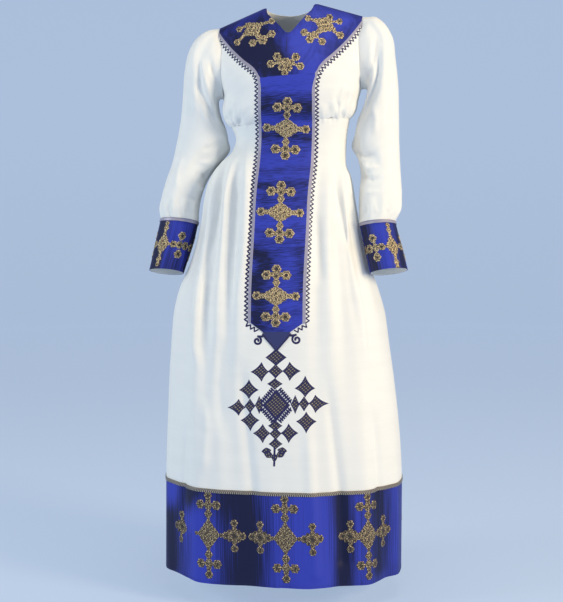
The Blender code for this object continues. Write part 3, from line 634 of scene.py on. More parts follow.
@dataclass(frozen=True)
class Crease:
    """A soft ridge (lift above 0) or trough (below 0) along a line.

    The line's points are pixels of the photo, or places in millimetres where they have three parts.
    """

    points: tuple
    lift: float
    width: float
    full: tuple = (False, False)

    def line(self, surface: "Surface") -> np.ndarray:
        """Return the line's points on a surface, in metres."""
        places = []
        for point in self.points:
            if len(point) == 3:
                places.append(np.array(point) * MM)
            else:
                places.append(surface.cast(point)[0])
        return np.array(places)

    def lift_at(self, points: np.ndarray, line: np.ndarray) -> np.ndarray:
        """Return how far each point is raised, in metres."""
        lengths = np.linalg.norm(np.diff(line, axis=0), axis=1)
        starts = np.concatenate([[0.0], np.cumsum(lengths)])
        nearest = np.full(points.shape[:-1], 1e9)
        along = np.zeros(points.shape[:-1])
        for first, second, length, start in zip(line[:-1], line[1:], lengths, starts):
            way = (second - first) / max(length, 1e-9)
            reach = np.clip((points - first) @ way, 0.0, length)
            apart = np.linalg.norm(points - first - reach[..., None] * way, axis=-1)
            closer = apart < nearest
            nearest = np.where(closer, apart, nearest)
            along = np.where(closer, start + reach, along)
        share = along / max(starts[-1], 1e-9)
        before = 1.0 if self.full[0] else np.clip(share / 0.3, 0.0, 1.0)
        after = 1.0 if self.full[1] else np.clip((1.0 - share) / 0.3, 0.0, 1.0)
        taper = before * after
        taper = taper * taper * (3.0 - 2.0 * taper)
        return self.lift * MM * taper * np.exp(-((nearest / (self.width * MM)) ** 2))


class Surface:
    """The outer faces of one or more grids, to cast pixels of the photo onto."""

    def __init__(self, view: Viewpoint, grids: Sequence[tuple]) -> None:
        """Collect the faces.

        Args:
            view: the photo's camera.
            grids: pairs of a grid of points and its sense.
        """
        self.view = view
        points, faces, start = [], [], 0
        for grid, sense in grids:
            rows, columns = grid.shape[:2]
            points.append(grid.reshape(-1, 3))
            number = start + np.arange(rows * columns).reshape(rows, columns)
            corners = [number[:-1, :-1], number[1:, :-1], number[1:, 1:], number[:-1, 1:]]
            quads = np.stack(corners, axis=-1).reshape(-1, 4)
            faces.extend((quads if sense > 0 else quads[:, ::-1]).tolist())
            start += rows * columns
        self.tree = BVHTree.FromPolygons(np.concatenate(points).tolist(), faces)
        self.origin = view.place()
        self.reach = 3.1

    def cast(self, pixel: Sequence[float]) -> tuple[np.ndarray, np.ndarray]:
        """Return the point and normal that a pixel of the photo shows.

        Args:
            pixel: its x and y.
        """
        way = self.view.ray(pixel)
        place, normal, _, distance = self.tree.ray_cast(self.origin, way)
        if place is None:
            place, normal, _, _ = self.tree.find_nearest(self.origin + way * self.reach)
        else:
            self.reach = distance
        return np.array(place), np.array(normal)

    def nearest(self, place: np.ndarray) -> tuple[np.ndarray, np.ndarray]:
        """Return the nearest point and its normal."""
        found, normal, _, _ = self.tree.find_nearest(Vector(place))
        return np.array(found), np.array(normal)


@dataclass
class Sheet:
    """A wall of cloth: an outer grid of points and its copy one thickness further in."""

    name: str
    points: np.ndarray
    normals: np.ndarray
    closed: bool = False
    sense: float = 1.0
    thickness: float = CLOTH
    finish: Finish = Finish.COTTON
    lining: Optional[Finish] = None
    slot: str = "white_cotton"
    # painted sheen and painted shade, from -1 to 1, for the brocade's colour
    painted_light_values: Optional[np.ndarray] = None

    def raised(self, height: float, **changes: object) -> "Sheet":
        """Return a sheet that lies on this one.

        Args:
            height: how far its outer face is above this one's.
            changes: other fields to change.
        """
        fields = {**self.__dict__, **changes}
        fields["points"] = self.points + self.normals * height
        return Sheet(**fields)

    def lengths(self) -> tuple[np.ndarray, np.ndarray]:
        """Return how far each point is across and down the cloth, in metres."""
        ring = np.concatenate([self.points, self.points[:, :1]], axis=1) if self.closed else self.points
        across = np.linalg.norm(np.diff(ring, axis=1), axis=-1)
        across = np.concatenate([np.zeros((len(ring), 1)), np.cumsum(across, axis=1)], axis=1)
        across -= across[:, across.shape[1] // 2][:, None]
        down = np.linalg.norm(np.diff(ring, axis=0), axis=-1)
        down = np.concatenate([np.zeros((1, ring.shape[1])), np.cumsum(down, axis=0)])
        return across, down

    def build(self, materials: dict) -> bpy.types.Object:
        """Make the sheet's mesh.

        Args:
            materials: every material by its finish.

        Returns:
            The new object.
        """
        rows, columns = self.points.shape[:2]
        size = rows * columns
        inner = self.points - self.normals * self.thickness
        points = np.concatenate([self.points.reshape(-1, 3), inner.reshape(-1, 3)])
        ring = np.arange(columns + 1) % columns if self.closed else np.arange(columns)
        number = (np.arange(rows)[:, None] * columns + ring[None, :]).astype(int)
        across, down = self.lengths()
        uv = np.stack([across, -down], axis=-1)

        def corners(grid: np.ndarray) -> np.ndarray:
            cells = [grid[:-1, :-1], grid[1:, :-1], grid[1:, 1:], grid[:-1, 1:]]
            stacked = np.stack(cells, axis=2)
            return stacked.reshape((-1, 4) + grid.shape[2:])

        quads, quad_uv = corners(number), corners(uv)
        faces = [quads, quads[:, ::-1] + size]
        face_uv = [quad_uv, quad_uv[:, ::-1]]
        edges = [(number[0], uv[0], False), (number[-1], uv[-1], True)]
        if not self.closed:
            edges += [(number[:, 0], uv[:, 0], True), (number[:, -1], uv[:, -1], False)]
        sharp = []
        for line, line_uv, forward in edges:
            first, second = (line[:-1], line[1:])
            first_uv, second_uv = (line_uv[:-1], line_uv[1:])
            sharp += [(first, second), (first + size, second + size)]
            if not forward:
                first, second, first_uv, second_uv = second, first, second_uv, first_uv
            faces.append(np.stack([second, first, first + size, second + size], axis=1))
            face_uv.append(np.stack([second_uv, first_uv, first_uv, second_uv], axis=1))
        count = len(quads)
        faces, face_uv = np.concatenate(faces), np.concatenate(face_uv)
        if self.sense < 0:
            faces, face_uv = faces[:, ::-1], face_uv[:, ::-1]

        mesh = bpy.data.meshes.new(self.name)
        mesh.from_pydata(points.tolist(), [], faces.tolist())
        layer = mesh.uv_layers.new(name="cloth")
        layer.data.foreach_set("uv", face_uv.astype(np.float32).ravel())
        mesh.materials.append(materials[self.finish])
        if self.lining is not None:
            mesh.materials.append(materials[self.lining])
            slots = np.zeros(len(faces), dtype=np.int32)
            slots[count : 2 * count] = 1
            mesh.polygons.foreach_set("material_index", slots)
        mesh.shade_smooth()
        pairs = np.concatenate([np.stack([first, second], axis=1) for first, second in sharp])
        pairs.sort(axis=1)
        wanted = pairs[:, 0] * (2 * size) + pairs[:, 1]
        found = np.zeros(len(mesh.edges) * 2, dtype=np.int32)
        mesh.edges.foreach_get("vertices", found)
        found = np.sort(found.reshape(-1, 2), axis=1)
        keys = found[:, 0].astype(np.int64) * (2 * size) + found[:, 1]
        mesh.attributes.new("sharp_edge", "BOOLEAN", "EDGE").data.foreach_set("value", np.isin(keys, wanted))
        # The tone attribute carries painted sheen and painted shade into the brocade's colour.
        if self.painted_light_values is not None:
            painted_light_values = np.tile(self.painted_light_values.ravel(), 2).astype(np.float32)
            mesh.attributes.new("tone", "FLOAT", "POINT").data.foreach_set("value", painted_light_values)
        mesh.update()
        thing = bpy.data.objects.new(f"{self.name}_cloth", mesh)
        bpy.context.scene.collection.objects.link(thing)
        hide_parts(self.name)
        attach(thing, "root")
        return thing


@dataclass
class PhotoPlace:
    """Lays pixels of the photo onto a surface, from a centre and turned by an angle."""

    surface: Surface
    centre: tuple
    tilt: float = 0.0

    def __call__(self, offsets: np.ndarray) -> tuple[np.ndarray, np.ndarray]:
        """Return the points and normals under some offsets from the centre, in pixels."""
        turn = math.radians(self.tilt)
        pixels = offsets @ np.array([[math.cos(turn), math.sin(turn)], [-math.sin(turn), math.cos(turn)]])
        found = [self.surface.cast(pixel) for pixel in pixels + np.array(self.centre)]
        return np.array([place for place, _ in found]), np.array([normal for _, normal in found])


@dataclass
class ClothPlace:
    """Lays offsets along and down a sheet, from a row and column of it; a unit is one pixel's size."""

    sheet: Sheet
    row: float
    column: float
    tilt: float = 0.0
    unit: float = PIXEL * MM

    def __call__(self, offsets: np.ndarray) -> tuple[np.ndarray, np.ndarray]:
        """Return the points and normals at some offsets from the centre."""
        points, normals = self.sheet.points, self.sheet.normals
        column = self.column
        if self.sheet.closed:
            half = points.shape[1] // 2
            shift = int(column) - half
            points = np.roll(points, -shift, axis=1)
            normals = np.roll(normals, -shift, axis=1)
            column -= shift
        turn = math.radians(self.tilt)
        moved = offsets @ np.array([[math.cos(turn), math.sin(turn)], [-math.sin(turn), math.cos(turn)]])
        moved = moved * self.unit
        moved[:, 0] *= self.sheet.sense
        across = np.linalg.norm(np.diff(points, axis=1), axis=-1)
        across = np.concatenate([np.zeros((len(points), 1)), np.cumsum(across, axis=1)], axis=1)
        middle = int(round(column))
        down = np.linalg.norm(np.diff(points[:, middle], axis=0), axis=-1)
        down = np.concatenate([[0.0], np.cumsum(down)])
        numbers = np.arange(len(points))
        rows = np.interp(np.interp(self.row, numbers, down) + moved[:, 1], down, numbers)
        places = np.arange(points.shape[1])
        made, facing = [], []
        for row, step in zip(rows, moved[:, 0]):
            low = min(int(row), len(points) - 2)
            share = row - low
            line = (1 - share) * across[low] + share * across[low + 1]
            spot = float(np.interp(np.interp(column, places, line) + step, line, places))
            left = min(int(spot), points.shape[1] - 2)
            aside = spot - left
            weights = (
                ((1 - share) * (1 - aside), low, left), ((1 - share) * aside, low, left + 1),
                (share * (1 - aside), low + 1, left), (share * aside, low + 1, left + 1),
            )
            made.append(sum(weight * points[r, c] for weight, r, c in weights))
            normal = sum(weight * normals[r, c] for weight, r, c in weights)
            facing.append(normal / np.linalg.norm(normal))
        return np.array(made), np.array(facing)


@dataclass
class PathPlace:
    """Lays distances along a line and to its side onto a surface, in millimetres."""

    surface: Surface
    line: np.ndarray
    side: float = 1.0

    def length(self) -> float:
        """Return the line's length in millimetres."""
        return float(np.linalg.norm(np.diff(self.line, axis=0), axis=1).sum() / MM)

    def __call__(self, offsets: np.ndarray) -> tuple[np.ndarray, np.ndarray]:
        """Return the points and normals at pairs of a distance along the line and one to its side."""
        steps = np.linalg.norm(np.diff(self.line, axis=0), axis=1)
        along = np.concatenate([[0.0], np.cumsum(steps)]) / MM
        ways = np.gradient(self.line, axis=0)
        made, facing = [], []
        for distance, aside in offsets:
            place = np.array([np.interp(distance, along, self.line[:, axis]) for axis in range(3)])
            way = np.array([np.interp(distance, along, ways[:, axis]) for axis in range(3)])
            _, normal = self.surface.nearest(place)
            across = np.cross(way, normal)
            across *= self.side * aside * MM / max(np.linalg.norm(across), 1e-9)
            found, normal = self.surface.nearest(place + across)
            made.append(found)
            facing.append(normal)
        return np.array(made), np.array(facing)


@dataclass
class Needlework:
    """Raised stitches that are gathered into one piece."""

    name: str
    finishes: tuple
    points: list = field(default_factory=list)
    faces: list = field(default_factory=list)
    uvs: list = field(default_factory=list)
    slots: list = field(default_factory=list)

    def rings(
        self, place: Place, flat: np.ndarray, heights: np.ndarray, slots: Sequence[int], hub: bool
    ) -> None:
        """Add rings of points, joined one to the next, and closed by a hub.

        Args:
            place: lays flat offsets onto the cloth.
            flat: rings of offsets, the outermost first; the last is a single point where hub is set.
            heights: each ring's height above the cloth in millimetres.
            slots: the finish of each band between two rings.
            hub: whether the rings close at the middle.
        """
        rings, count = flat.shape[:2]
        spots, facing = place(flat.reshape(-1, 2))
        lifted = spots + facing * (np.repeat(heights, count) * MM)[:, None]
        start = sum(len(part) for part in self.points)
        self.points.append(lifted)
        self.uvs.append(flat.reshape(-1, 2) * PIXEL * MM)
        number = start + np.arange(rings * count).reshape(rings, count)
        for ring in range(rings - 1):
            for step in range(count):
                after = (step + 1) % count
                upper = (number[ring, step], number[ring, after])
                face = (*upper, number[ring + 1, after], number[ring + 1, step])
                self.faces.append(face)
                self.slots.append(slots[ring])
        if hub:
            self.faces.append(tuple(number[-1]))
            self.slots.append(slots[-1])

    def pad(self, place: Place, centre: tuple, outline: np.ndarray, profile: Sequence[tuple]) -> None:
        """Add a raised pad.

        Args:
            place: lays flat offsets onto the cloth.
            centre: the pad's middle.
            outline: the offsets of its edge from the middle.
            profile: the share of the outline, height in millimetres and finish of each ring inwards.
        """
        flat = np.array([np.array(centre) + outline * share for share, _, _ in profile])
        heights = np.array([height for _, height, _ in profile])
        self.rings(place, flat, heights, [slot for _, _, slot in profile[1:]] + [profile[-1][2]], True)

    def stroke(self, place: Place, path: Sequence[tuple], width: float, height: float, slot: int = 0) -> None:
        """Add a rounded line of thread.

        Args:
            place: lays flat offsets onto the cloth.
            path: the points that it follows.
            width: its width, in the place's unit.
            height: its height in millimetres.
            slot: its finish.
        """
        line = np.array(path, float)
        ways = np.gradient(line, axis=0)
        ways /= np.maximum(np.linalg.norm(ways, axis=1, keepdims=True), 1e-9)
        line = np.concatenate([[line[0] - ways[0] * width * 0.3], line, [line[-1] + ways[-1] * width * 0.3]])
        ways = np.concatenate([ways[:1], ways, ways[-1:]])
        sides = np.stack([-ways[:, 1], ways[:, 0]], axis=1) * width / 2
        offsets = (-1.0, -0.55, 0.55, 1.0)
        tops = (-0.2, height, height, -0.2)
        flat = np.array([line + sides * offset for offset in offsets])
        spots, facing = place(flat.reshape(-1, 2))
        raise_by = np.repeat(np.array(tops), len(line)).reshape(4, -1)
        raise_by[:, 0] = -0.2
        raise_by[:, -1] = -0.2
        start = sum(len(part) for part in self.points)
        self.points.append(spots + facing * (raise_by.reshape(-1) * MM)[:, None])
        self.uvs.append(flat.reshape(-1, 2) * PIXEL * MM)
        number = start + np.arange(4 * len(line)).reshape(4, len(line))
        for row in range(3):
            for step in range(len(line) - 1):
                self.faces.append(
                    (
                        number[row, step], number[row, step + 1],
                        number[row + 1, step + 1], number[row + 1, step],
                    )
                )
                self.slots.append(slot)

    def build(self, materials: dict) -> bpy.types.Object:
        """Make the piece's mesh.

        Args:
            materials: every material by its finish.

        Returns:
            The new object.
        """
        points = np.concatenate(self.points)
        uvs = np.concatenate(self.uvs)
        mesh = bpy.data.meshes.new(self.name)
        mesh.from_pydata(points.tolist(), [], [tuple(int(corner) for corner in face) for face in self.faces])
        layer = mesh.uv_layers.new(name="cloth")
        corners = np.zeros(len(mesh.loops), dtype=np.int32)
        mesh.loops.foreach_get("vertex_index", corners)
        layer.data.foreach_set("uv", uvs[corners].astype(np.float32).ravel())
        for finish in self.finishes:
            mesh.materials.append(materials[finish])
        mesh.polygons.foreach_set("material_index", np.array(self.slots, dtype=np.int32))
        mesh.shade_smooth()
        work = bmesh.new()
        work.from_mesh(mesh)
        bmesh.ops.recalc_face_normals(work, faces=work.faces)
        work.to_mesh(mesh)
        work.free()
        thing = bpy.data.objects.new(self.name, mesh)
        bpy.context.scene.collection.objects.link(thing)
        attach(thing, "root")
        return thing


class Shape:
    """Outlines for the motifs, in pixels of the photo, each centred on 0, 0."""

    @staticmethod
    def lobe(radius: float, petals: int = 6, steps: int = 18) -> np.ndarray:
        """Return a scalloped disc."""
        angles = np.arange(steps) / steps * 2 * math.pi
        reach = radius * (1.0 + 0.11 * np.cos(petals * angles))
        return np.stack([reach * np.cos(angles), reach * np.sin(angles)], axis=1)

    @staticmethod
    def star(up: float, right: float, down: float, left: float, hollow: float = 0.36) -> np.ndarray:
        """Return a four-pointed shape with curved-in sides; hollow 0.5 makes them straight."""
        tips = np.array([(0.0, -up), (right, 0.0), (0.0, down), (-left, 0.0)])
        outline = []
        for first, second in zip(tips, np.roll(tips, -1, axis=0)):
            bend = (first + second) * hollow
            for t in np.arange(5) / 5:
                outline.append((1 - t) ** 2 * first + 2 * t * (1 - t) * bend + t * t * second)
        return np.array(outline)


GOLD_LOBE = (
    (1.0, -0.2, 0), (0.95, 0.5, 0), (0.78, 1.15, 0), (0.62, 0.7, 0), (0.54, 0.3, 1), (0.46, 0.8, 0),
    (0.38, 0.7, 0), (0.33, 0.3, 1), (0.08, 0.4, 1),
)
GOLD_LOOP = ((1.0, 0.3, 0), (0.80, 1.15, 0), (0.48, 1.0, 0), (0.36, 0.6, 1), (0.1, 0.5, 1))
GOLD_PAD = ((1.0, -0.2, 0), (0.97, 0.5, 0), (0.88, 1.0, 0), (0.76, 0.6, 0), (0.66, 0.5, 0), (0.1, 0.6, 0))
NAVY_PAD = ((1.0, -0.2, 0), (0.95, 0.45, 0), (0.74, 0.55, 0), (0.70, 0.4, 1), (0.2, 0.45, 1))


@dataclass
class GoldWork:
    """The gold crosses, which are lobes with dark hearts round scalloped diamonds."""

    work: Needlework

    def lobe(self, place: Place, x: float, y: float, radius: float) -> None:
        """Add a lobe at an offset, of a radius, in pixels."""
        self.work.pad(place, (x, y), Shape.lobe(radius), GOLD_LOBE)

    def diamond(self, place: Place, half_width: float, half_height: float, hollow: float = 0.42) -> None:
        """Add a diamond at the place's middle, filled with small loops."""
        outline = Shape.star(half_height, half_width, half_height, half_width, hollow)
        self.work.pad(place, (0.0, 0.0), outline, GOLD_PAD)
        inner = 0.78 + 0.9 * (hollow - 0.42)
        for first in range(4):
            for second in range(4):
                x = (first - second) / 3 * half_width * inner
                y = (first + second - 3) / 3 * half_height * inner
                pull = 1 - (0.5 - hollow) * (1 - abs(abs(x / half_width) - abs(y / half_height)))
                loop = Shape.lobe(1.95, 5, 12)
                self.work.pad(place, (x * pull, y * pull), loop, GOLD_LOOP)

    def link(self, place: Place, path: Sequence[tuple]) -> None:
        """Add a short bar of gold between two parts."""
        self.work.stroke(place, path, 3.0, 0.6)

    def band_cross(self, place: Place, arms: float = 20.5) -> None:
        """Add a cross of the centre band: trefoils above and below, a bead at each side."""
        self.diamond(place, 15.6, 10.6, 0.48)
        for end in (-1, 1):
            self.link(place, ((0, end * 9), (0, end * 18)))
            self.lobe(place, 0, end * 13.6, 3.7)
            self.link(place, ((-8, end * 20.5), (8, end * 20.5)))
            self.lobe(place, 0, end * 26.8, 4.8)
            self.lobe(place, 0, end * 20, 3.9)
            for side in (-1, 1):
                self.lobe(place, side * 9.9, end * 20.8, 4.9)
                self.lobe(place, side * 5.2, end * 21.4, 2.6)
        for side in (-1, 1):
            self.lobe(place, side * (arms - 5.2), 0, 2.8)
            self.lobe(place, side * arms, 0, 4.4)

    def hem_cross(self, place: Place) -> None:
        """Add a tall cross of the hem band."""
        self.diamond(place, 12.2, 16.5, 0.46)
        for end, reach in ((-1, 38.0), (1, 39.5)):
            self.link(place, ((0, end * 13), (0, end * (reach - 6))))
            self.lobe(place, 0, end * 19.8, 3.9)
            self.link(place, ((-8, end * 28.6), (8, end * 28.6)))
            self.lobe(place, 0, end * 28.4, 4.4)
            self.lobe(place, 0, end * 33.6, 2.6)
            self.lobe(place, 0, end * reach, 4.1)
            for side in (-1, 1):
                self.lobe(place, side * 8.4, end * 28.8, 4.6)
        for side in (-1, 1):
            self.lobe(place, side * 13.4, 0, 2.2)

    def hem_flower(self, place: Place) -> None:
        """Add a small cross of the hem band."""
        self.lobe(place, 0, 0, 5.6)
        for end in (-1, 1):
            self.link(place, ((0, end * 4), (0, end * 10)))
            self.lobe(place, 0, end * 6.6, 2.6)
            self.lobe(place, 0, end * 12.4, 3.7)
        for side in (-1, 1):
            self.lobe(place, side * 7.6, 0, 4.0)
            for end in (-1, 1):
                self.lobe(place, side * 4.4, end * 4.2, 2.0)


BODY_CREASES = (
    Crease(((228, 165), (220, 195), (213, 235), (206, 275)), -3.0, 9.0),
    Crease(((238, 158), (237, 200), (234, 250), (232, 325)), -2.5, 9.0),
    Crease(((221, 180), (214, 220), (208, 262)), 2.0, 8.0),
    Crease(((203, 268), (196, 310), (194, 345), (200, 380)), 2.5, 12.0),
    Crease(((246, 145), (247, 190), (245, 245), (240, 300)), 2.2, 9.0),
    Crease(((334, 178), (339, 205), (345, 232), (354, 262)), -2.6, 9.0),
    Crease(((330, 160), (333, 205), (338, 250)), 2.0, 9.0),
    Crease(((315, 205), (318, 245), (323, 295)), -1.8, 12.0),
    Crease(((352, 265), (362, 320), (368, 380)), 2.2, 14.0),
    Crease(((343, 215), (352, 290), (360, 350)), -2.0, 12.0),
    Crease(((222, 330), (218, 385), (222, 440)), -2.4, 14.0),
    Crease(((205, 395), (207, 430), (203, 480)), 2.2, 13.0),
    Crease(((240, 345), (243, 400), (250, 470), (255, 520)), -2.2, 13.0, (False, True)),
    Crease(((326, 360), (332, 420), (340, 490), (343, 560)), -2.6, 13.0, (False, True)),
    Crease(((306, 400), (309, 450), (313, 520), (315, 575)), 2.0, 13.0, (False, True)),
    Crease(((372, 400), (377, 450), (380, 520)), -2.4, 12.0),
    Crease(((186, 420), (184, 470), (182, 530)), -2.2, 12.0, (False, True)),
    Crease(((226, 120), (232, 112), (238, 102)), -1.6, 4.5, (True, False)),
    Crease(((232, 124), (239, 114), (244, 103)), 1.4, 4.0, (True, False)),
    Crease(((238, 125), (244, 115), (248, 106)), -1.4, 4.0, (True, False)),
    Crease(((246, 126), (250, 117), (252, 108)), 1.0, 3.6, (True, False)),
    Crease(((350, 92), (344, 102), (338, 112)), -1.8, 4.5),
    Crease(((347, 84), (340, 95), (333, 108)), 1.5, 4.2),
    Crease(((343, 116), (338, 106), (336, 96)), -1.4, 3.8, (True, False)),
    Crease(((332, 120), (329, 109), (329, 100)), -1.3, 3.8, (True, False)),
    Crease(((338, 119), (334, 108), (333, 98)), 1.1, 3.5, (True, False)),
    Crease(((324, 121), (322, 110), (322, 102)), 1.0, 3.5, (True, False)),
    Crease(((-60, 96, -360), (-70, 118, -520), (-92, 150, -760)), 2.6, 12.0),
    Crease(((-20, 100, -362), (-24, 130, -560), (-30, 170, -840)), -2.6, 12.0),
    Crease(((24, 100, -362), (30, 135, -600), (44, 175, -880)), 2.4, 12.0),
    Crease(((66, 92, -362), (86, 118, -560), (110, 150, -820)), -2.4, 12.0),
    Crease(((-120, 120, -800), (-150, 150, -1020), (-160, 170, -1240)), -2.4, 14.0),
    Crease(((70, 170, -900), (88, 185, -1100), (96, 195, -1330)), -2.4, 14.0, (False, True)),
    Crease(((-40, 190, -950), (-52, 200, -1150), (-58, 205, -1340)), 2.2, 14.0, (False, True)),
    Crease(((0, 90, -60), (8, 96, -120), (6, 92, -190)), -1.2, 12.0),
    Crease(((90, 60, -70), (82, 80, -120), (70, 88, -180)), 1.4, 10.0),
    Crease(((-94, 60, -76), (-80, 82, -128), (-66, 88, -190)), -1.4, 10.0),
)
LEFT_SLEEVE_CREASES = (
    Crease(((207, 50), (212, 70), (218, 90), (222, 108)), -2.8, 6.5),
    Crease(((201, 55), (205, 78), (211, 100)), 2.0, 6.5),
    Crease(((197, 76), (199, 104), (202, 130)), -1.5, 8.0),
    Crease(((190, 60), (188, 90), (187, 120)), 1.5, 8.0),
    Crease(((224, 140), (212, 147), (200, 150)), -2.0, 6.0),
    Crease(((220, 158), (208, 163), (196, 162)), 1.6, 6.0),
    Crease(((216, 172), (206, 176), (195, 172)), -2.4, 5.5),
    Crease(((212, 186), (202, 189), (190, 184)), 1.8, 5.5),
    Crease(((207, 197), (196, 200), (184, 196)), -1.8, 5.5),
    Crease(((175, 150), (178, 170), (176, 192)), 1.4, 7.0),
    Crease(((170, 222), (169, 211), (171, 199)), -1.2, 3.6, (True, False)),
    Crease(((179, 223), (178, 212), (179, 203)), 1.2, 3.6, (True, False)),
    Crease(((187, 223), (187, 213), (188, 206)), -1.1, 3.4, (True, False)),
    Crease(((-250, 60, -150), (-256, 62, -210), (-252, 50, -270)), -2.0, 9.0),
    Crease(((-215, 60, -200), (-235, 66, -240), (-262, 58, -280)), 2.0, 8.0),
    Crease(((-240, 50, -330), (-265, 52, -350), (-288, 40, -360)), -2.2, 7.0),
    Crease(((-250, 44, -400), (-275, 42, -415), (-298, 26, -425)), 1.8, 7.0),
)
RIGHT_SLEEVE_CREASES = (
    Crease(((376, 34), (374, 60), (368, 84)), -2.2, 6.5),
    Crease(((384, 42), (384, 70), (380, 98)), 2.0, 7.5),
    Crease(((391, 70), (390, 100), (386, 128)), -1.5, 8.0),
    Crease(((372, 100), (376, 118), (374, 138)), 1.6, 7.0),
    Crease(((353, 150), (364, 156), (376, 154)), -2.8, 5.5),
    Crease(((356, 162), (368, 169), (381, 167)), 2.0, 5.5),
    Crease(((361, 173), (372, 180), (386, 178)), -2.2, 5.5),
    Crease(((360, 187), (370, 193), (383, 191)), 1.6, 5.5),
    Crease(((394, 140), (392, 165), (394, 190)), -1.3, 7.0),
    Crease(((366, 223), (367, 212), (365, 203)), -1.2, 3.6, (True, False)),
    Crease(((375, 223), (376, 211), (375, 201)), 1.2, 3.6, (True, False)),
    Crease(((385, 222), (386, 211), (385, 203)), -1.1, 3.4, (True, False)),
    Crease(((250, 58, -120), (256, 60, -190), (250, 50, -250)), -2.0, 9.0),
    Crease(((214, 56, -220), (236, 62, -262), (260, 52, -300)), 2.0, 8.0),
    Crease(((206, 30, -330), (230, 42, -350), (256, 30, -352)), -2.2, 7.0),
    Crease(((206, 12, -400), (230, 22, -420), (254, 8, -424)), 1.8, 7.0),
)
CUFF_CREASES = (
    Crease(((178, 222), (179, 240), (177, 256)), 0.8, 8.0, (True, False)),
    Crease(((190, 224), (187, 245), (184, 268)), -0.8, 7.0, (True, True)),
    Crease(((386, 224), (389, 240), (393, 262)), 0.8, 8.0, (True, False)),
    Crease(((368, 225), (373, 245), (379, 268)), -0.8, 7.0, (True, True)),
)



@dataclass(frozen=True)
class CutCross:
    """Part of a cross where the cloth's repeat is cut, in pixels of the photo from its centre.

    Attributes:
        centre: the pixel that the rest is measured from.
        links: the bars of gold.
        lobes: each lobe's x, y and radius.
        diamond: its half width, half height and tilt in degrees, where there is one.
    """

    centre: tuple
    links: tuple
    lobes: tuple
    diamond: Optional[tuple] = None


YOKE_CROSSES = (
    CutCross(
        (253.0, 29.3),
        (
            ((11.0, -6.0), (18.6, -8.2)), ((-10.0, 7.0), (-15.9, 13.2)), ((4.0, 5.0), (9.0, 9.6)),
            ((9.0, 9.6), (18.6, 4.5)), ((9.0, 9.6), (-0.5, 13.6)), ((-5.5, -4.5), (-13.0, 0.0)),
        ),
        (
            (18.6, -8.2, 3.2), (-15.9, 13.2, 3.2), (-13.6, 0.0, 3.0), (-5.5, -3.6, 3.0), (-0.5, 13.6, 3.7),
            (18.6, 4.5, 3.9), (9.4, 10.4, 4.8), (5.4, 6.6, 3.2),
        ),
        (12.8, 8.0, -32.0),
    ),
    CutCross(
        (324.8, 24.7),
        (
            ((-8.0, -3.0), (-16.8, -6.4)), ((8.0, 6.0), (15.5, 10.5)), ((0.0, 0.0), (-10.0, 10.0)),
            ((-10.0, 10.0), (-15.0, 14.5)), ((-10.0, 10.0), (-20.5, 7.7)), ((-10.0, 10.0), (-2.7, 16.8)),
            ((2.0, -3.0), (13.0, -3.0)),
        ),
        (
            (-16.8, -6.4, 3.3), (15.5, 10.5, 3.9), (14.6, -3.2, 3.2), (4.6, -7.0, 3.8), (-20.5, 7.7, 3.9),
            (-15.0, 14.5, 4.2), (-2.7, 16.8, 3.9), (-10.0, 10.0, 4.0), (-5.4, 6.0, 3.0),
        ),
        (13.4, 9.2, 27.0),
    ),
    CutCross(
        (285.8, 61.5),
        (((-15.0, 2.4), (-6.0, 1.0), (0.0, 1.0), (6.0, 2.0), (14.5, 4.6)), ((0.0, 0.0), (-1.0, 11.0))),
        (
            (-8.7, -4.9, 4.3), (9.9, -4.5, 4.3), (-15.1, 2.4, 4.0), (14.5, 4.6, 4.0), (0.0, 0.6, 4.6),
            (-5.5, 0.5, 3.6), (5.3, 1.0, 3.6), (-1.0, 11.6, 3.6), (-4.4, 6.0, 3.7), (2.8, 6.4, 3.7),
        ),
    ),
)
BOTH_ENDS = (True, True)
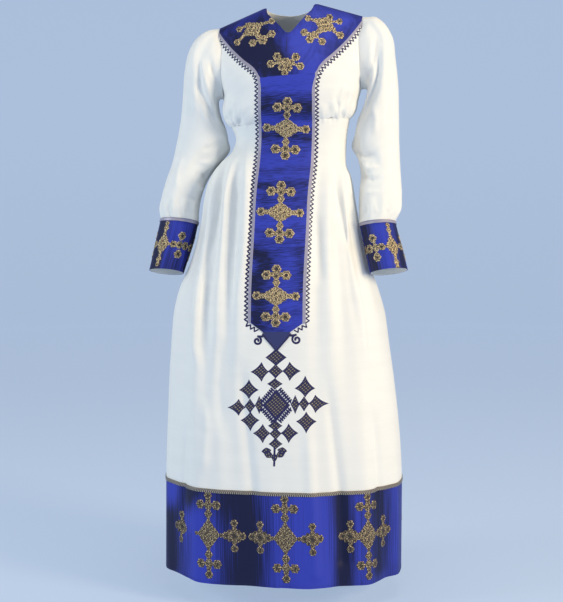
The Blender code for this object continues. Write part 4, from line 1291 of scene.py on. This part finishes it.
# Lines of painted sheen (above 0) and painted shade (below 0) in each brocade sheet's colour: brighter and
# darker streaks where light falls on the satin's folds and sides.
PAINTED_LIGHT_LINES = {
    "yoke": (
        Crease(((226, 36), (246, 50), (266, 64)), -0.50, 60.0, BOTH_ENDS),
        Crease(((262, 18), (275, 40), (284, 60)), -0.45, 34.0, BOTH_ENDS),
        Crease(((294, 44), (302, 56), (308, 72)), 0.50, 36.0, BOTH_ENDS),
        Crease(((316, 44), (330, 34), (346, 22)), 0.25, 30.0, BOTH_ENDS),
        Crease(((336, 44), (348, 30), (358, 20)), -0.30, 14.0, BOTH_ENDS),
    ),
    "centre_band": (
        Crease(((262, 83), (312, 85)), 0.55, 26.0, BOTH_ENDS),
        Crease(((262, 104), (312, 107)), -0.60, 22.0, BOTH_ENDS),
        Crease(((264, 120), (290, 121), (310, 125)), 0.50, 10.0, BOTH_ENDS),
        Crease(((264, 137), (288, 134), (310, 139)), -0.50, 7.0, BOTH_ENDS),
        Crease(((262, 160), (308, 163)), 0.30, 34.0, BOTH_ENDS),
        Crease(((258, 186), (280, 190), (306, 186)), -0.30, 8.0, BOTH_ENDS),
        Crease(((256, 224), (306, 222)), 0.35, 30.0, BOTH_ENDS),
        Crease(((254, 252), (268, 262), (262, 274)), -0.60, 18.0, BOTH_ENDS),
        Crease(((253, 286), (259, 306), (256, 326)), -0.60, 24.0, BOTH_ENDS),
        Crease(((290, 262), (288, 290), (292, 326)), 0.30, 26.0, BOTH_ENDS),
        Crease(((300, 250), (303, 290)), -0.30, 12.0, BOTH_ENDS),
    ),
    "cuff_left": (
        Crease(((181, 226), (178, 248), (174, 270)), 0.50, 18.0, BOTH_ENDS),
        Crease(((162, 226), (157, 248), (154, 268)), -0.80, 18.0, BOTH_ENDS),
        Crease(((197, 226), (191, 248), (185, 270)), -0.75, 14.0, BOTH_ENDS),
        Crease(((-250, 22, -510), (-256, 24, -610)), 0.40, 14.0, BOTH_ENDS),
    ),
    "cuff_right": (
        Crease(((379, 228), (384, 248), (389, 268)), 0.50, 18.0, BOTH_ENDS),
        Crease(((364, 229), (368, 248), (374, 270)), -0.70, 14.0, BOTH_ENDS),
        Crease(((396, 226), (401, 246), (404, 264)), -0.70, 12.0, BOTH_ENDS),
        Crease(((236, -8, -510), (244, -16, -610)), 0.40, 14.0, BOTH_ENDS),
    ),
    "hem_band_front": (
        Crease(((171, 478), (171, 520), (172, 562)), -0.95, 34.0, BOTH_ENDS),
        Crease(((203, 490), (202, 530), (200, 572)), 0.60, 42.0, BOTH_ENDS),
        Crease(((245, 492), (247, 535), (245, 578)), -0.85, 44.0, BOTH_ENDS),
        Crease(((308, 498), (311, 540), (313, 584)), 0.60, 52.0, BOTH_ENDS),
        Crease(((280, 496), (283, 540), (282, 584)), 0.20, 20.0, BOTH_ENDS),
        Crease(((339, 499), (342, 540), (342, 586)), -0.80, 24.0, BOTH_ENDS),
        Crease(((357, 498), (360, 540), (358, 584)), 0.30, 16.0, BOTH_ENDS),
        Crease(((378, 494), (380, 530), (380, 566)), -0.75, 30.0, BOTH_ENDS),
        Crease(((395, 486), (397, 520), (396, 556)), 0.20, 20.0, BOTH_ENDS),
    ),
    "hem_band_back": (
        Crease(((262, 80, -1130), (266, 84, -1345)), 0.45, 36.0, BOTH_ENDS),
        Crease(((196, 142, -1130), (200, 146, -1345)), -0.60, 34.0, BOTH_ENDS),
        Crease(((110, 182, -1130), (116, 188, -1345)), 0.55, 44.0, BOTH_ENDS),
        Crease(((30, 200, -1130), (34, 206, -1345)), -0.60, 34.0, BOTH_ENDS),
        Crease(((-60, 200, -1130), (-62, 207, -1345)), 0.55, 44.0, BOTH_ENDS),
        Crease(((-150, 182, -1130), (-154, 188, -1345)), -0.65, 36.0, BOTH_ENDS),
        Crease(((-236, 132, -1130), (-240, 138, -1345)), 0.45, 40.0, BOTH_ENDS),
        Crease(((-290, 70, -1130), (-296, 74, -1345)), -0.50, 30.0, BOTH_ENDS),
    ),
}
BAND_POINT = (276.4, 350.5)
BAND_CROSSES = (((286.3, 128.5), -2.5), ((280.3, 212.3), -2.0), ((276.0, 296.0), -1.0))
LATTICE = (
    ((276.0, 357.5), (8.5, 10.0, 8.0, 10.0), 0.46),
    ((275.5, 371.2), (7.0, 7.2, 7.0, 7.2), 0.44),
    ((261.6, 371.8), (9.3, 7.0, 9.3, 10.4), 0.34),
    ((289.6, 371.0), (8.8, 10.6, 9.4, 7.0), 0.34),
    ((274.9, 383.8), (5.4, 7.4, 5.6, 7.4), 0.42),
    ((276.2, 405.3), (15.2, 13.2, 15.2, 13.2), 0.48),
    ((259.2, 405.0), (8.6, 4.2, 8.6, 4.0), 0.44),
    ((250.0, 406.0), (7.2, 5.2, 7.2, 5.2), 0.44),
    ((238.8, 407.4), (8.0, 6.4, 8.0, 10.6), 0.32),
    ((249.0, 390.0), (10.0, 9.2, 8.6, 9.4), 0.32),
    ((250.4, 420.2), (8.4, 8.6, 10.4, 9.4), 0.32),
    ((295.2, 404.4), (9.0, 4.2, 9.0, 4.4), 0.44),
    ((304.0, 403.6), (7.0, 5.2, 7.4, 5.2), 0.44),
    ((315.2, 403.4), (8.2, 12.8, 9.0, 6.4), 0.32),
    ((305.2, 388.4), (12.0, 9.4, 8.6, 10.0), 0.32),
    ((306.2, 421.4), (9.2, 9.8, 11.4, 9.6), 0.32),
    ((275.2, 425.8), (5.8, 6.8, 5.6, 6.8), 0.42),
    ((275.5, 433.6), (6.0, 5.8, 6.4, 5.8), 0.44),
    ((262.8, 433.2), (8.8, 7.2, 9.4, 9.4), 0.34),
    ((288.6, 433.0), (9.0, 9.2, 9.6, 7.4), 0.34),
    ((275.4, 444.0), (6.2, 6.8, 5.4, 6.4), 0.42),
)
HEM_FRONT = (
    ((183.0, 529.0), False), ((208.6, 530.0), True), ((235.0, 533.5), False), ((261.0, 539.0), False),
    ((284.8, 538.5), True), ((313.0, 540.0), False), ((349.6, 542.5), False), ((367.8, 540.0), True),
    ((383.0, 534.0), False),
)
HEM_MIDDLE = 0.475
HEM_BACK = (
    (0.055, False), (0.12, True), (0.19, False), (0.26, False), (0.325, True), (0.40, False), (0.465, False),
    (0.53, True), (0.60, False), (0.665, False), (0.735, True), (0.80, False), (0.86, False), (0.93, True),
)


@dataclass
class Dress:
    """The whole dress."""

    view: Viewpoint
    materials: dict
    sheets: dict = field(default_factory=dict)
    things: dict = field(default_factory=dict)

    def read_forms(self) -> None:
        """Read the CAD's grids, smooth them and crease them."""
        grids = {}
        for node, rows, columns, start, closed in (
            ("midriff_front", 4, 28, (-142, 0, -267), False),
            ("midriff_back", 4, 21, (142, 0, -247), False),
            ("skirt_front", 15, 28, (-169, 0, -352), False),
            ("skirt_back", 15, 21, (135, 0, -363), False),
            ("hem_band_front", 4, 28, (-308, 0, -1125), False),
            ("hem_band_back", 4, 21, (274, 0, -1125), False),
            ("bodice_front", 16, 27, (-172, 0, -30), False),
            ("bodice_back", 12, 17, (172, 0, -6), False),
            ("sleeve_right", 14, 18, (172, 0, -6), True),
            ("sleeve_left", 14, 18, (-172, 0, -30), True),
            ("cuff_right", 4, 18, (254, -48, -493), True),
            ("cuff_left", 4, 18, (-319, -9, -490), True),
        ):
            grids[node] = WallReader(node).read(rows, columns, start, closed)
        body = []
        for part in ("midriff", "skirt", "hem_band"):
            front, back = grids[f"{part}_front"][0], grids[f"{part}_back"][0]
            ring = np.concatenate([front, back[:, 1:-1]], axis=1)
            ring[:, 0] = (front[:, 0] + back[:, -1]) / 2
            ring[:, 27] = (front[:, -1] + back[:, 0]) / 2
            body.append(ring)
        midriff, skirt, hem = body
        waist = (midriff[-1:] + skirt[:1]) / 2
        seam = (skirt[-1:] + hem[:1]) / 2
        ring = np.concatenate([midriff[:-1], waist, skirt[1:-1], seam, hem[1:]])
        band = {column: 4 for column in range(11, 17)} | {10: 2, 17: 2}
        self.body = Form.over(ring, True, grids["skirt_front"][1], band)
        band = {column: 4 for column in range(10, 16)} | {9: 2, 16: 2}
        front, sense = grids["bodice_front"]
        self.bodice_front = Form.over(front, False, sense, band)
        self.bodice_back = Form.over(grids["bodice_back"][0], False, grids["bodice_back"][1])
        self.sleeves, self.cuffs = {}, {}
        for side in ("left", "right"):
            self.sleeves[side] = Form.over(*self.closed(grids[f"sleeve_{side}"]))
            self.cuffs[side] = Form.over(*self.closed(grids[f"cuff_{side}"]))
        trunk = (self.body, self.bodice_front, self.bodice_back)
        surface = self.surface(trunk)
        for form in trunk:
            form.crease(BODY_CREASES, surface)
        for side, creases in (("left", LEFT_SLEEVE_CREASES), ("right", RIGHT_SLEEVE_CREASES)):
            self.sleeves[side].crease(creases, self.surface([self.sleeves[side]]))
        cuffs = self.surface(list(self.cuffs.values()))
        for form in self.cuffs.values():
            form.crease(CUFF_CREASES, cuffs)

    @staticmethod
    def closed(grid: tuple) -> tuple:
        """Return a closed grid's points, that it is closed, and its sense."""
        return grid[0], True, grid[1]

    def surface(self, forms: Sequence[Form]) -> Surface:
        """Return the outer faces of some forms."""
        grids = []
        for form in forms:
            points = form.points
            if form.closed:
                points = np.concatenate([points, points[:, :1]], axis=1)
            grids.append((points, form.sense))
        return Surface(self.view, grids)

    def add(self, sheet: Sheet) -> Sheet:
        """Build a sheet and keep it by its name."""
        self.sheets[sheet.name] = sheet
        # Brocade sheets get painted sheen and painted shade along their lines, stored on the sheet.
        if sheet.name in PAINTED_LIGHT_LINES:
            surface = self.on(sheet.name)
            painted_light_values = [line.lift_at(sheet.points, line.line(surface)) / MM for line in PAINTED_LIGHT_LINES[sheet.name]]
            sheet.painted_light_values = np.clip(sum(painted_light_values), -1.0, 1.0)
        self.things[sheet.name] = sheet.build(self.materials)
        return sheet

    def sew_panels(self) -> None:
        """Build the panels of cloth."""
        blue = {"finish": Finish.BROCADE_UPRIGHT, "lining": Finish.COTTON, "slot": "blue_brocade"}
        for name, first, last, look in (
            ("midriff", 0, 3, {}), ("skirt", 3, 17, {}), ("hem_band", 17, 20, blue)
        ):
            self.add(self.body.panel(f"{name}_front", slice(first, last), slice(0, 27), **look))
            self.add(self.body.panel(f"{name}_back", slice(first, last), slice(27, 47), **look))
        self.add(self.bodice_front.panel("bodice_front", slice(0, 15), slice(0, 26)))
        self.add(self.bodice_back.panel("bodice_back", slice(0, 11), slice(0, 16)))
        for side in ("left", "right"):
            self.add(self.sleeves[side].panel(f"sleeve_{side}", slice(0, 13), slice(0, 18)))
            self.add(self.cuffs[side].panel(f"cuff_{side}", slice(0, 3), slice(0, 18), **blue))

    def long_strip(self, name: str, offsets: tuple, first: int, last: int, **look: object) -> Sheet:
        """Return a strip that runs down the bodice's front and the skirt.

        Args:
            name: the sheet's name.
            offsets: its first and last CAD columns, counted from the centre.
            first: its first CAD row on the bodice.
            last: its last CAD row on the midriff and skirt.
            look: the sheet's finish and slot.
        """
        above = self.bodice_front.panel(name, slice(first, 15), slice(13 + offsets[0], 13 + offsets[1]))
        below = self.body.panel(name, slice(0, last), slice(14 + offsets[0], 14 + offsets[1]))
        points = np.concatenate([above.points, below.points[1:]])
        normals = np.concatenate([above.normals, below.normals[1:]])
        return Sheet(name, points, normals, False, above.sense, TRIM, **look)

    @staticmethod
    def narrowed(sheet: Sheet, first: int, shares: Sequence[float]) -> None:
        """Draw rows of a sheet in towards its middle.

        Args:
            sheet: the sheet.
            first: the first of the rows.
            shares: the share of its width that each row keeps.
        """
        count = sheet.points.shape[1]
        knots = np.linspace(-1, 1, count)
        for row, share in enumerate(shares, start=first):
            for grid in (sheet.points, sheet.normals):
                grid[row] = np.stack(
                    [np.interp(knots * share, knots, grid[row][:, axis]) for axis in range(3)], axis=1
                )

    def sew_trims(self) -> None:
        """Build the yoke, the centre band with its tip, and the ribbons."""
        brocade = {"finish": Finish.BROCADE_ACROSS, "slot": "blue_brocade"}
        silver = {"finish": Finish.SILVER, "slot": "silver_ribbon"}
        on_top = {"thickness": TRIM}
        satin = {"finish": Finish.BROCADE_YOKE, "slot": "blue_brocade"}
        yoke = self.bodice_front.panel("yoke", slice(0, 5), slice(0, 26), **satin, **on_top)
        self.add(yoke.raised(TRIM_TOP))
        strip = self.long_strip("centre_band", (-3, 3), 5, 12, **brocade)
        steps = self.body.rows[12] - self.body.rows[11]
        shares = 1 - (1 - 33 / 60) * np.arange(1, steps + 1) / steps
        self.narrowed(strip, len(strip.points) - steps, shares)
        self.add(strip.raised(TRIM_TOP))
        tip = self.body.panel(
            "band_tip", slice(12, 13), slice(11, 17), finish=Finish.PLAIN_BLUE, slot="plain_blue", **on_top
        )
        steps = len(tip.points) - 1
        self.narrowed(tip, 0, 33 / 60 - (33 - 2) / 60 * np.arange(steps + 1) / steps)
        self.add(tip.raised(TRIM_TOP))
        for side, offsets, columns in (("right", (3, 4), slice(16, 26)), ("left", (-4, -3), slice(0, 10))):
            strip = self.long_strip(f"band_ribbon_{side}", offsets, 6, 11, **silver)
            self.add(strip.raised(TRIM_TOP))
            slant = self.bodice_front.panel(f"yoke_ribbon_{side}", slice(5, 6), columns, **silver, **on_top)
            self.add(slant.raised(TRIM_TOP))
            self.sew_cuff_ribbon(side, silver)

    def sew_cuff_ribbon(self, side: str, look: dict) -> None:
        """Build the ribbon round a cuff's top.

        Args:
            side: left or right.
            look: its finish and slot.
        """
        cuff = self.sheets[f"cuff_{side}"]
        down = np.linalg.norm(np.diff(cuff.points, axis=0), axis=-1).mean(axis=1)
        down = np.concatenate([[0.0], np.cumsum(down)]) / MM
        rows = np.interp([0.8, 2.6, 4.4, 6.2, 7.8], down, np.arange(len(down)))
        points = np.array([self.between(cuff.points, row) for row in rows])
        normals = np.array([self.between(cuff.normals, row) for row in rows])
        strip = Sheet(f"cuff_ribbon_{side}", points, normals, True, cuff.sense, TRIM, **look)
        self.add(strip.raised(TRIM_TOP))

    @staticmethod
    def between(grid: np.ndarray, row: float) -> np.ndarray:
        """Return a row part of the way between two rows of a grid."""
        low = min(int(row), len(grid) - 2)
        return grid[low] + (grid[low + 1] - grid[low]) * (row - low)

    def sew_hem_braid(self) -> None:
        """Build the plaited braid over the hem's seam."""
        seam = self.body.rows[17]
        rows = slice(seam - 3, seam + 4)
        grid, normals = self.body.points[rows], self.body.normals()[rows]
        ring = np.concatenate([grid[3], grid[3][:1]])
        lengths = np.concatenate([[0.0], np.cumsum(np.linalg.norm(np.diff(ring, axis=0), axis=1))])
        count = int(lengths[-1] / (1.1 * MM)) // 8 * 8
        spots = np.arange(count) / count * lengths[-1]
        columns = np.interp(spots, lengths, np.arange(len(lengths)))
        down = np.linalg.norm(np.diff(grid, axis=0), axis=-1).mean(axis=1)
        down = np.concatenate([[0.0], np.cumsum(down)])
        down -= down[3]
        offsets = np.linspace(-4.4, 4.4, 9)
        points, facing = [], []
        for offset in offsets:
            row = float(np.interp(offset * MM, down, np.arange(len(down))))
            line = self.between(grid, row)
            line_normals = self.between(normals, row)
            line = np.concatenate([line, line[:1]])
            line_normals = np.concatenate([line_normals, line_normals[:1]])
            places = np.arange(len(line))
            made, normal = (
                np.stack([np.interp(columns, places, values[:, axis]) for axis in range(3)], axis=1)
                for values in (line, line_normals)
            )
            phase = np.arange(count) / 8 * math.pi + abs(offset) * 0.55
            relief = 0.55 * np.abs(np.sin(phase)) * (1 - (offset / 5.2) ** 2)
            points.append(made + normal * ((1.5 + relief) * MM)[:, None])
            facing.append(normal)
        braid = Sheet(
            "hem_braid", np.array(points), np.array(facing), True, self.body.sense, TRIM, Finish.BRAID,
            slot="braid",
        )
        self.add(braid)

    def embroider(self) -> None:
        """Add the gold crosses, the navy stitches and the topstitching."""
        GoldFront(self).build()
        GoldHem(self).build()
        NavyWork(self).build()

    def on(self, *names: str) -> Surface:
        """Return the outer faces of some sheets."""
        grids = []
        for name in names:
            sheet = self.sheets[name]
            points = sheet.points
            if sheet.closed:
                points = np.concatenate([points, points[:, :1]], axis=1)
            grids.append((points, sheet.sense))
        return Surface(self.view, grids)

    def spot(self, name: str, pixel: Sequence[float]) -> tuple[float, float]:
        """Return the row and column of a sheet that a pixel of the photo shows."""
        place, _ = self.on(name).cast(pixel)
        sheet = self.sheets[name]
        apart = np.linalg.norm(sheet.points - place, axis=-1)
        row, column = np.unravel_index(int(apart.argmin()), apart.shape)
        return float(row), float(column)

    def declare_cloth(self) -> None:
        """Hold the cut of every piece of cloth in a table; nothing is done with it."""
        above = {"midriff": "bodice", "skirt": "midriff", "hem_band": "skirt"}
        cuts = {
            "bodice_front": ((0.50, 0.33), "gathered", 0.125),
            "bodice_back": ((0.44, 0.32), "hung", None),
            "midriff_front": ((0.40, 0.11), "hung", None),
            "midriff_back": ((0.36, 0.11), "hung", None),
            "skirt_front": ((0.90, 0.80), "gathered", 0.53),
            "skirt_back": ((0.90, 0.80), "gathered", 0.53),
            "hem_band_front": ((0.86, 0.23), "hung", None),
            "hem_band_back": ((0.82, 0.23), "hung", None),
            "sleeve_left": ((0.34, 0.50), "gathered", None),
            "sleeve_right": ((0.34, 0.50), "gathered", None),
            "cuff_left": ((0.25, 0.13), "hung", None),
            "cuff_right": ((0.25, 0.13), "hung", None),
            "yoke": ((0.37, 0.17), "laid", None),
            "centre_band": ((0.12, 0.66), "laid", None),
            "band_tip": ((0.07, 0.045), "laid", 0.0018),
        }
        for name, (flat, held, area) in cuts.items():
            part, _, side = name.rpartition("_")
            if part in above:
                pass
            elif part == "sleeve":
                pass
            elif part == "cuff":
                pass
            elif name in ("yoke", "centre_band"):
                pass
            elif name == "band_tip":
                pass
            else:
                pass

    def build(self) -> None:
        """Build all of it."""
        self.read_forms()
        self.sew_panels()
        self.sew_trims()
        self.sew_hem_braid()
        self.embroider()
        self.declare_cloth()


@dataclass
class GoldFront:
    """The gold crosses on the centre band, the yoke and the cuffs."""

    dress: Dress

    def build(self) -> None:
        """Build the three pieces."""
        gold = (Finish.GOLD, Finish.GOLD_HEART)
        band = GoldWork(Needlework("band_crosses", gold))
        surface = self.dress.on("centre_band")
        for centre, tilt in BAND_CROSSES:
            band.band_cross(PhotoPlace(surface, centre, -tilt), 19.5)
        band.work.build(self.dress.materials)
        self.yoke(GoldWork(Needlework("yoke_crosses", gold)))
        for side in ("left", "right"):
            self.cuff(side, GoldWork(Needlework(f"cuff_cross_{side}", gold)))

    def yoke(self, gold: GoldWork) -> None:
        """Lay parts of crosses on the yoke, as the cloth's repeat is cut there."""
        surface = self.dress.on("yoke")
        for part in YOKE_CROSSES:
            place = PhotoPlace(surface, part.centre)
            if part.diamond:
                half_width, half_height, tilt = part.diamond
                gold.diamond(PhotoPlace(surface, part.centre, tilt), half_width, half_height, 0.42)
            for path in part.links:
                gold.link(place, path)
            for x, y, radius in part.lobes:
                gold.lobe(place, x, y, radius)
        gold.work.build(self.dress.materials)

    def cuff(self, side: str, gold: GoldWork) -> None:
        """Lay crosses turned on their sides round a cuff.

        Args:
            side: left or right.
            gold: the piece that they are added to.
        """
        name = f"cuff_{side}"
        sheet = self.dress.sheets[name]
        shown = (163.0, 243.5) if side == "left" else (393.5, 246.5)
        row, column = self.dress.spot(name, shown)
        facing = 1.0 if side == "left" else -1.0
        columns = sheet.points.shape[1]
        for share in (0.0, 0.5):
            place = ClothPlace(sheet, row, (column + share * columns) % columns, 0.0)
            gold.diamond(place, 7.6, 13.0, 0.40)
            for end in (-1, 1):
                gold.link(place, ((0, end * 11), (0, end * 21)))
                gold.lobe(place, 0, end * 16.0, 2.8)
                gold.lobe(place, 0, end * 21.0, 2.4)
            for way in (-1, 1):
                x = facing * way
                gold.link(place, ((x * 7.0, 0.0), (x * 22.0, 0.0)))
                gold.lobe(place, x * 11.4, 0.0, 3.7)
                gold.lobe(place, x * 17.6, 0.0, 3.9)
                gold.link(place, ((x * 18.0, -8.0), (x * 18.0, 8.0)))
                gold.lobe(place, x * 18.4, -9.4, 4.3)
                gold.lobe(place, x * 18.4, 9.4, 4.3)
                gold.lobe(place, x * 25.0, 0.0, 4.4)
        gold.work.build(self.dress.materials)


@dataclass
class GoldHem:
    """The gold crosses round the hem band."""

    dress: Dress

    def build(self) -> None:
        """Build the front's and the back's crosses."""
        gold = (Finish.GOLD_HEM, Finish.GOLD_HEART)
        ring = self.dress.body.panel("hem_ring", slice(17, 20), slice(0, 47))
        middle = HEM_MIDDLE * (len(ring.points) - 1)
        front = GoldWork(Needlework("hem_crosses_front", gold))
        surface = Surface(self.dress.view, [(ring.points, ring.sense)])
        for pixel, tall in HEM_FRONT:
            place, _ = surface.cast(pixel)
            apart = np.linalg.norm(ring.points[int(middle)] - place, axis=-1)
            self.cross(front, ring, middle, float(apart.argmin()), tall)
        front.work.build(self.dress.materials)
        back = GoldWork(Needlework("hem_crosses_back", gold))
        first, last = self.dress.body.columns[27], self.dress.body.columns[47]
        for share, tall in HEM_BACK:
            self.cross(back, ring, middle, first + share * (last - first), tall)
        back.work.build(self.dress.materials)

    @staticmethod
    def cross(gold: GoldWork, ring: Sheet, row: float, column: float, tall: bool) -> None:
        """Lay one cross on the band.

        Args:
            gold: the piece that it is added to.
            ring: the whole band.
            row: the cross's middle row.
            column: its middle column.
            tall: whether it fills the band's height.
        """
        place = ClothPlace(ring, row, column)
        if tall:
            gold.hem_cross(place)
        else:
            gold.hem_flower(place)


@dataclass
class NavyWork:
    """The navy zigzags, the lattice cross, the spirals and the topstitching."""

    dress: Dress

    def build(self) -> None:
        """Build the three pieces."""
        self.zigzags()
        self.lattice()
        self.seams()

    def edge_lines(self) -> list:
        """Return the lines that the zigzags follow, each with the side they lie on."""
        bodice, body = self.dress.bodice_front, self.dress.body
        lines = []
        for offset, side in ((4, -1.0), (-4, 1.0)):
            above = bodice.points[bodice.rows[6] :, bodice.columns[13 + offset]]
            below = body.points[1 : body.rows[11] + 1, body.columns[14 + offset]]
            near, far = ((3, 4) if offset > 0 else (-3, -4))
            corner = body.points[body.rows[11], body.columns[14 + offset]]
            end = body.points[body.rows[12]]
            middle, edge = body.columns[14], body.columns[14 + near]
            foot = end[int(round(middle + (edge - middle) * 36 / 60))]
            cut = np.array([corner + (foot - corner) * share for share in (0.33, 0.66, 1.0)])
            lines.append((np.concatenate([above, below, cut]), side))
            row = bodice.points[bodice.rows[6]]
            if offset > 0:
                lines.append((row[bodice.columns[17] :], 1.0))
            else:
                lines.append((row[: bodice.columns[9] + 1][::-1], -1.0))
        return lines

    def zigzags(self) -> None:
        """Sew a zigzag outside the ribbons."""
        work = Needlework("zigzag", (Finish.NAVY,))
        surface = self.dress.on("bodice_front", "midriff_front", "skirt_front")
        for line, side in self.edge_lines():
            place = PathPlace(surface, line, side)
            step = 10.6
            count = int(place.length() / step)
            for number in range(count):
                start = number * step
                work.stroke(place, ((start, 0.2), (start + step / 2, 8.8)), 3.7, 0.6)
                work.stroke(place, ((start + step / 2, 8.8), (start + step, 0.2)), 3.7, 0.6)
        work.build(self.dress.materials)

    def lattice(self) -> None:
        """Embroider the lattice cross, its leaves and the spirals beside the band's tip."""
        work = Needlework("lattice_cross", (Finish.NAVY, Finish.HATCH))
        surface = self.dress.on("skirt_front")
        for centre, tips, hollow in LATTICE:
            outline = Shape.star(*[tip * 1.08 for tip in tips], hollow)
            work.pad(PhotoPlace(surface, centre), (0.0, 0.0), outline, NAVY_PAD)
        place = PhotoPlace(surface, (276.2, 405.3))
        for x, y in ((1, -1), (1, 1), (-1, 1), (-1, -1)):
            for number in range(7):
                share = (number + 0.8) / 8
                foot = np.array([x * 13.2 * share, y * 15.2 * (1 - share)])
                out = np.array([x * 0.75, y * 0.66])
                work.stroke(place, (foot + out, foot + out * 5.2), 2.1, 0.5)
                slant = np.array([x * 1.4, -y * 1.5])
                work.stroke(place, (foot + out * 4.4, foot + out * 2.2 + slant), 1.4, 0.45)
        self.leaves(work, surface)
        work.build(self.dress.materials)

    def leaves(self, work: Needlework, surface: Surface) -> None:
        """Embroider the finial's leaves and stalk, and the two spirals.

        Args:
            work: the piece that they are added to.
            surface: the skirt's front.
        """
        for centre, tilt, width, height in (
            ((268.4, 454.6), -62.0, 3.6, 5.6), ((266.4, 450.9), -98.0, 3.4, 5.0),
            ((280.6, 454.2), 62.0, 3.6, 5.6), ((282.2, 450.5), 98.0, 3.4, 5.0),
            ((274.4, 457.6), 0.0, 3.0, 4.6),
        ):
            outline = Shape.star(height, width, height, width, 0.66)
            work.pad(PhotoPlace(surface, centre, tilt), (0.0, 0.0), outline, NAVY_PAD)
        place = PhotoPlace(surface, (0.0, 0.0))
        work.stroke(place, ((274.6, 447.0), (274.5, 453.0), (274.3, 460.0), (274.1, 466.0)), 2.4, 0.5)
        for x, y, side, radius in ((257.3, 340.8, -1.0, 4.4), (296.6, 339.6, 1.0, 5.0)):
            path = []
            for number in range(34):
                angle = math.radians(-90 + 14.5 * number)
                reach = radius * (1 - number / 42)
                path.append((x + side * -reach * math.cos(angle), y + reach * math.sin(angle)))
            start = (262.4, 336.6) if side < 0 else (290.6, 335.8)
            work.stroke(place, (start, *path), 2.5, 0.6)
        for foot in ((262.6, 334.5), (290.6, 334.0)):
            way = (BAND_POINT[0] - foot[0], BAND_POINT[1] - foot[1])
            path = [(foot[0] + way[0] * t, foot[1] + way[1] * t) for t in (0, 0.35, 0.7, 1)]
            work.stroke(place, path, 2.2, 2.0)

    def seams(self) -> None:
        """Sew the stitches beside the hems, and the seam under the neck's opening."""
        work = Needlework("topstitching", (Finish.COTTON, Finish.NAVY))
        for name, row in (("cuff_left", -2), ("cuff_right", -2)):
            sheet = self.dress.sheets[name]
            line = np.concatenate([sheet.points[row], sheet.points[row][:1]])
            self.dashes(work, PathPlace(self.dress.on(name), line), 1)
        for name in ("hem_band_front", "hem_band_back"):
            line = self.dress.sheets[name].points[-2]
            self.dashes(work, PathPlace(self.dress.on(name), line), 1)
        place = PhotoPlace(self.dress.on("yoke"), (0.0, 0.0))
        work.stroke(place, ((287.0, 37.5), (286.6, 44.0), (286.2, 52.0)), 0.9, 0.4, 1)
        work.build(self.dress.materials)

    @staticmethod
    def dashes(work: Needlework, place: PathPlace, slot: int) -> None:
        """Sew a row of stitches along a line.

        Args:
            work: the piece that they are added to.
            place: the line.
            slot: their finish.
        """
        count = int(place.length() / 4.2)
        for number in range(count):
            start = 0.6 + number * 4.2
            work.stroke(place, ((start, 0.0), (start + 2.6, 0.0)), 0.7, 0.3, slot)


@dataclass(frozen=True)
class Lamp:
    """A soft square light."""

    name: str
    place: tuple
    size: float
    power: float
    colour: tuple
    target: tuple = (0.0, 0.0, -0.7)

    def build(self) -> None:
        """Add the light to the scene."""
        data = bpy.data.lights.new(self.name, "AREA")
        data.size = self.size
        data.energy = self.power
        data.color = self.colour
        lamp = bpy.data.objects.new(self.name, data)
        lamp.location = self.place
        lamp.rotation_euler = (Vector(self.target) - Vector(self.place)).to_track_quat("-Z", "Y").to_euler()
        bpy.context.scene.collection.objects.link(lamp)


@dataclass(frozen=True)
class Studio:
    """The floor, the light and the background."""

    floor_drop: float = 0.06
    reach: float = 8.0
    wall: float = 4.6

    def build(self, materials: dict) -> None:
        """Add all of it.

        Args:
            materials: every material by its finish.
        """
        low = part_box("hem_band_front")[0][2] - self.floor_drop
        mesh = bpy.data.meshes.new("floor")
        sweep, sides = 1.6, 64
        profile = [(self.reach - sweep, low)]
        for number in range(1, 13):
            angle = math.radians(90 * number / 12)
            place = (self.reach - sweep + sweep * math.sin(angle), low + sweep * (1 - math.cos(angle)))
            profile.append(place)
        profile.append((self.reach, low + self.wall))
        points = [(0.0, 0.0, low)]
        for radius, z in profile:
            for number in range(sides):
                angle = 2 * math.pi * number / sides
                points.append((radius * math.cos(angle), radius * math.sin(angle), z))
        faces = [(0, 1 + number, 1 + (number + 1) % sides) for number in range(sides)]
        for ring in range(len(profile) - 1):
            first = 1 + ring * sides
            for number in range(sides):
                after = (number + 1) % sides
                faces.append((first + number, first + sides + number, first + sides + after, first + after))
        mesh.from_pydata(points, [], faces)
        mesh.uv_layers.new(name="cloth")
        mesh.materials.append(materials[Finish.FLOOR])
        mesh.shade_smooth()
        floor = bpy.data.objects.new("floor", mesh)
        bpy.context.scene.collection.objects.link(floor)
        world = bpy.data.worlds.new("studio")
        world.use_nodes = True
        world.node_tree.nodes["Background"].inputs[0].default_value = (0.80, 0.76, 0.66, 1.0)
        world.node_tree.nodes["Background"].inputs[1].default_value = 0.26
        bpy.context.scene.world = world
        Lamp("key", (3.2, -1.9, 0.5), 1.0, 118.0, (1.0, 0.82, 0.54)).build()
        Lamp("fill", (-3.2, -1.5, 0.5), 1.2, 52.0, (0.97, 1.0, 0.93)).build()
        Lamp("top", (0.4, -0.9, 2.6), 1.6, 30.0, (0.97, 0.98, 1.0)).build()
        bpy.context.scene.view_settings.view_transform = "Standard"


def main() -> None:
    """Build the scene."""
    logging.basicConfig(level=logging.INFO, format="%(message)s")
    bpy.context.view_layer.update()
    materials = Palette().all()
    view = Viewpoint()
    view.build()
    dress = Dress(view, materials)
    dress.build()
    Studio().build(materials)


if __name__ == "__main__":
    main()
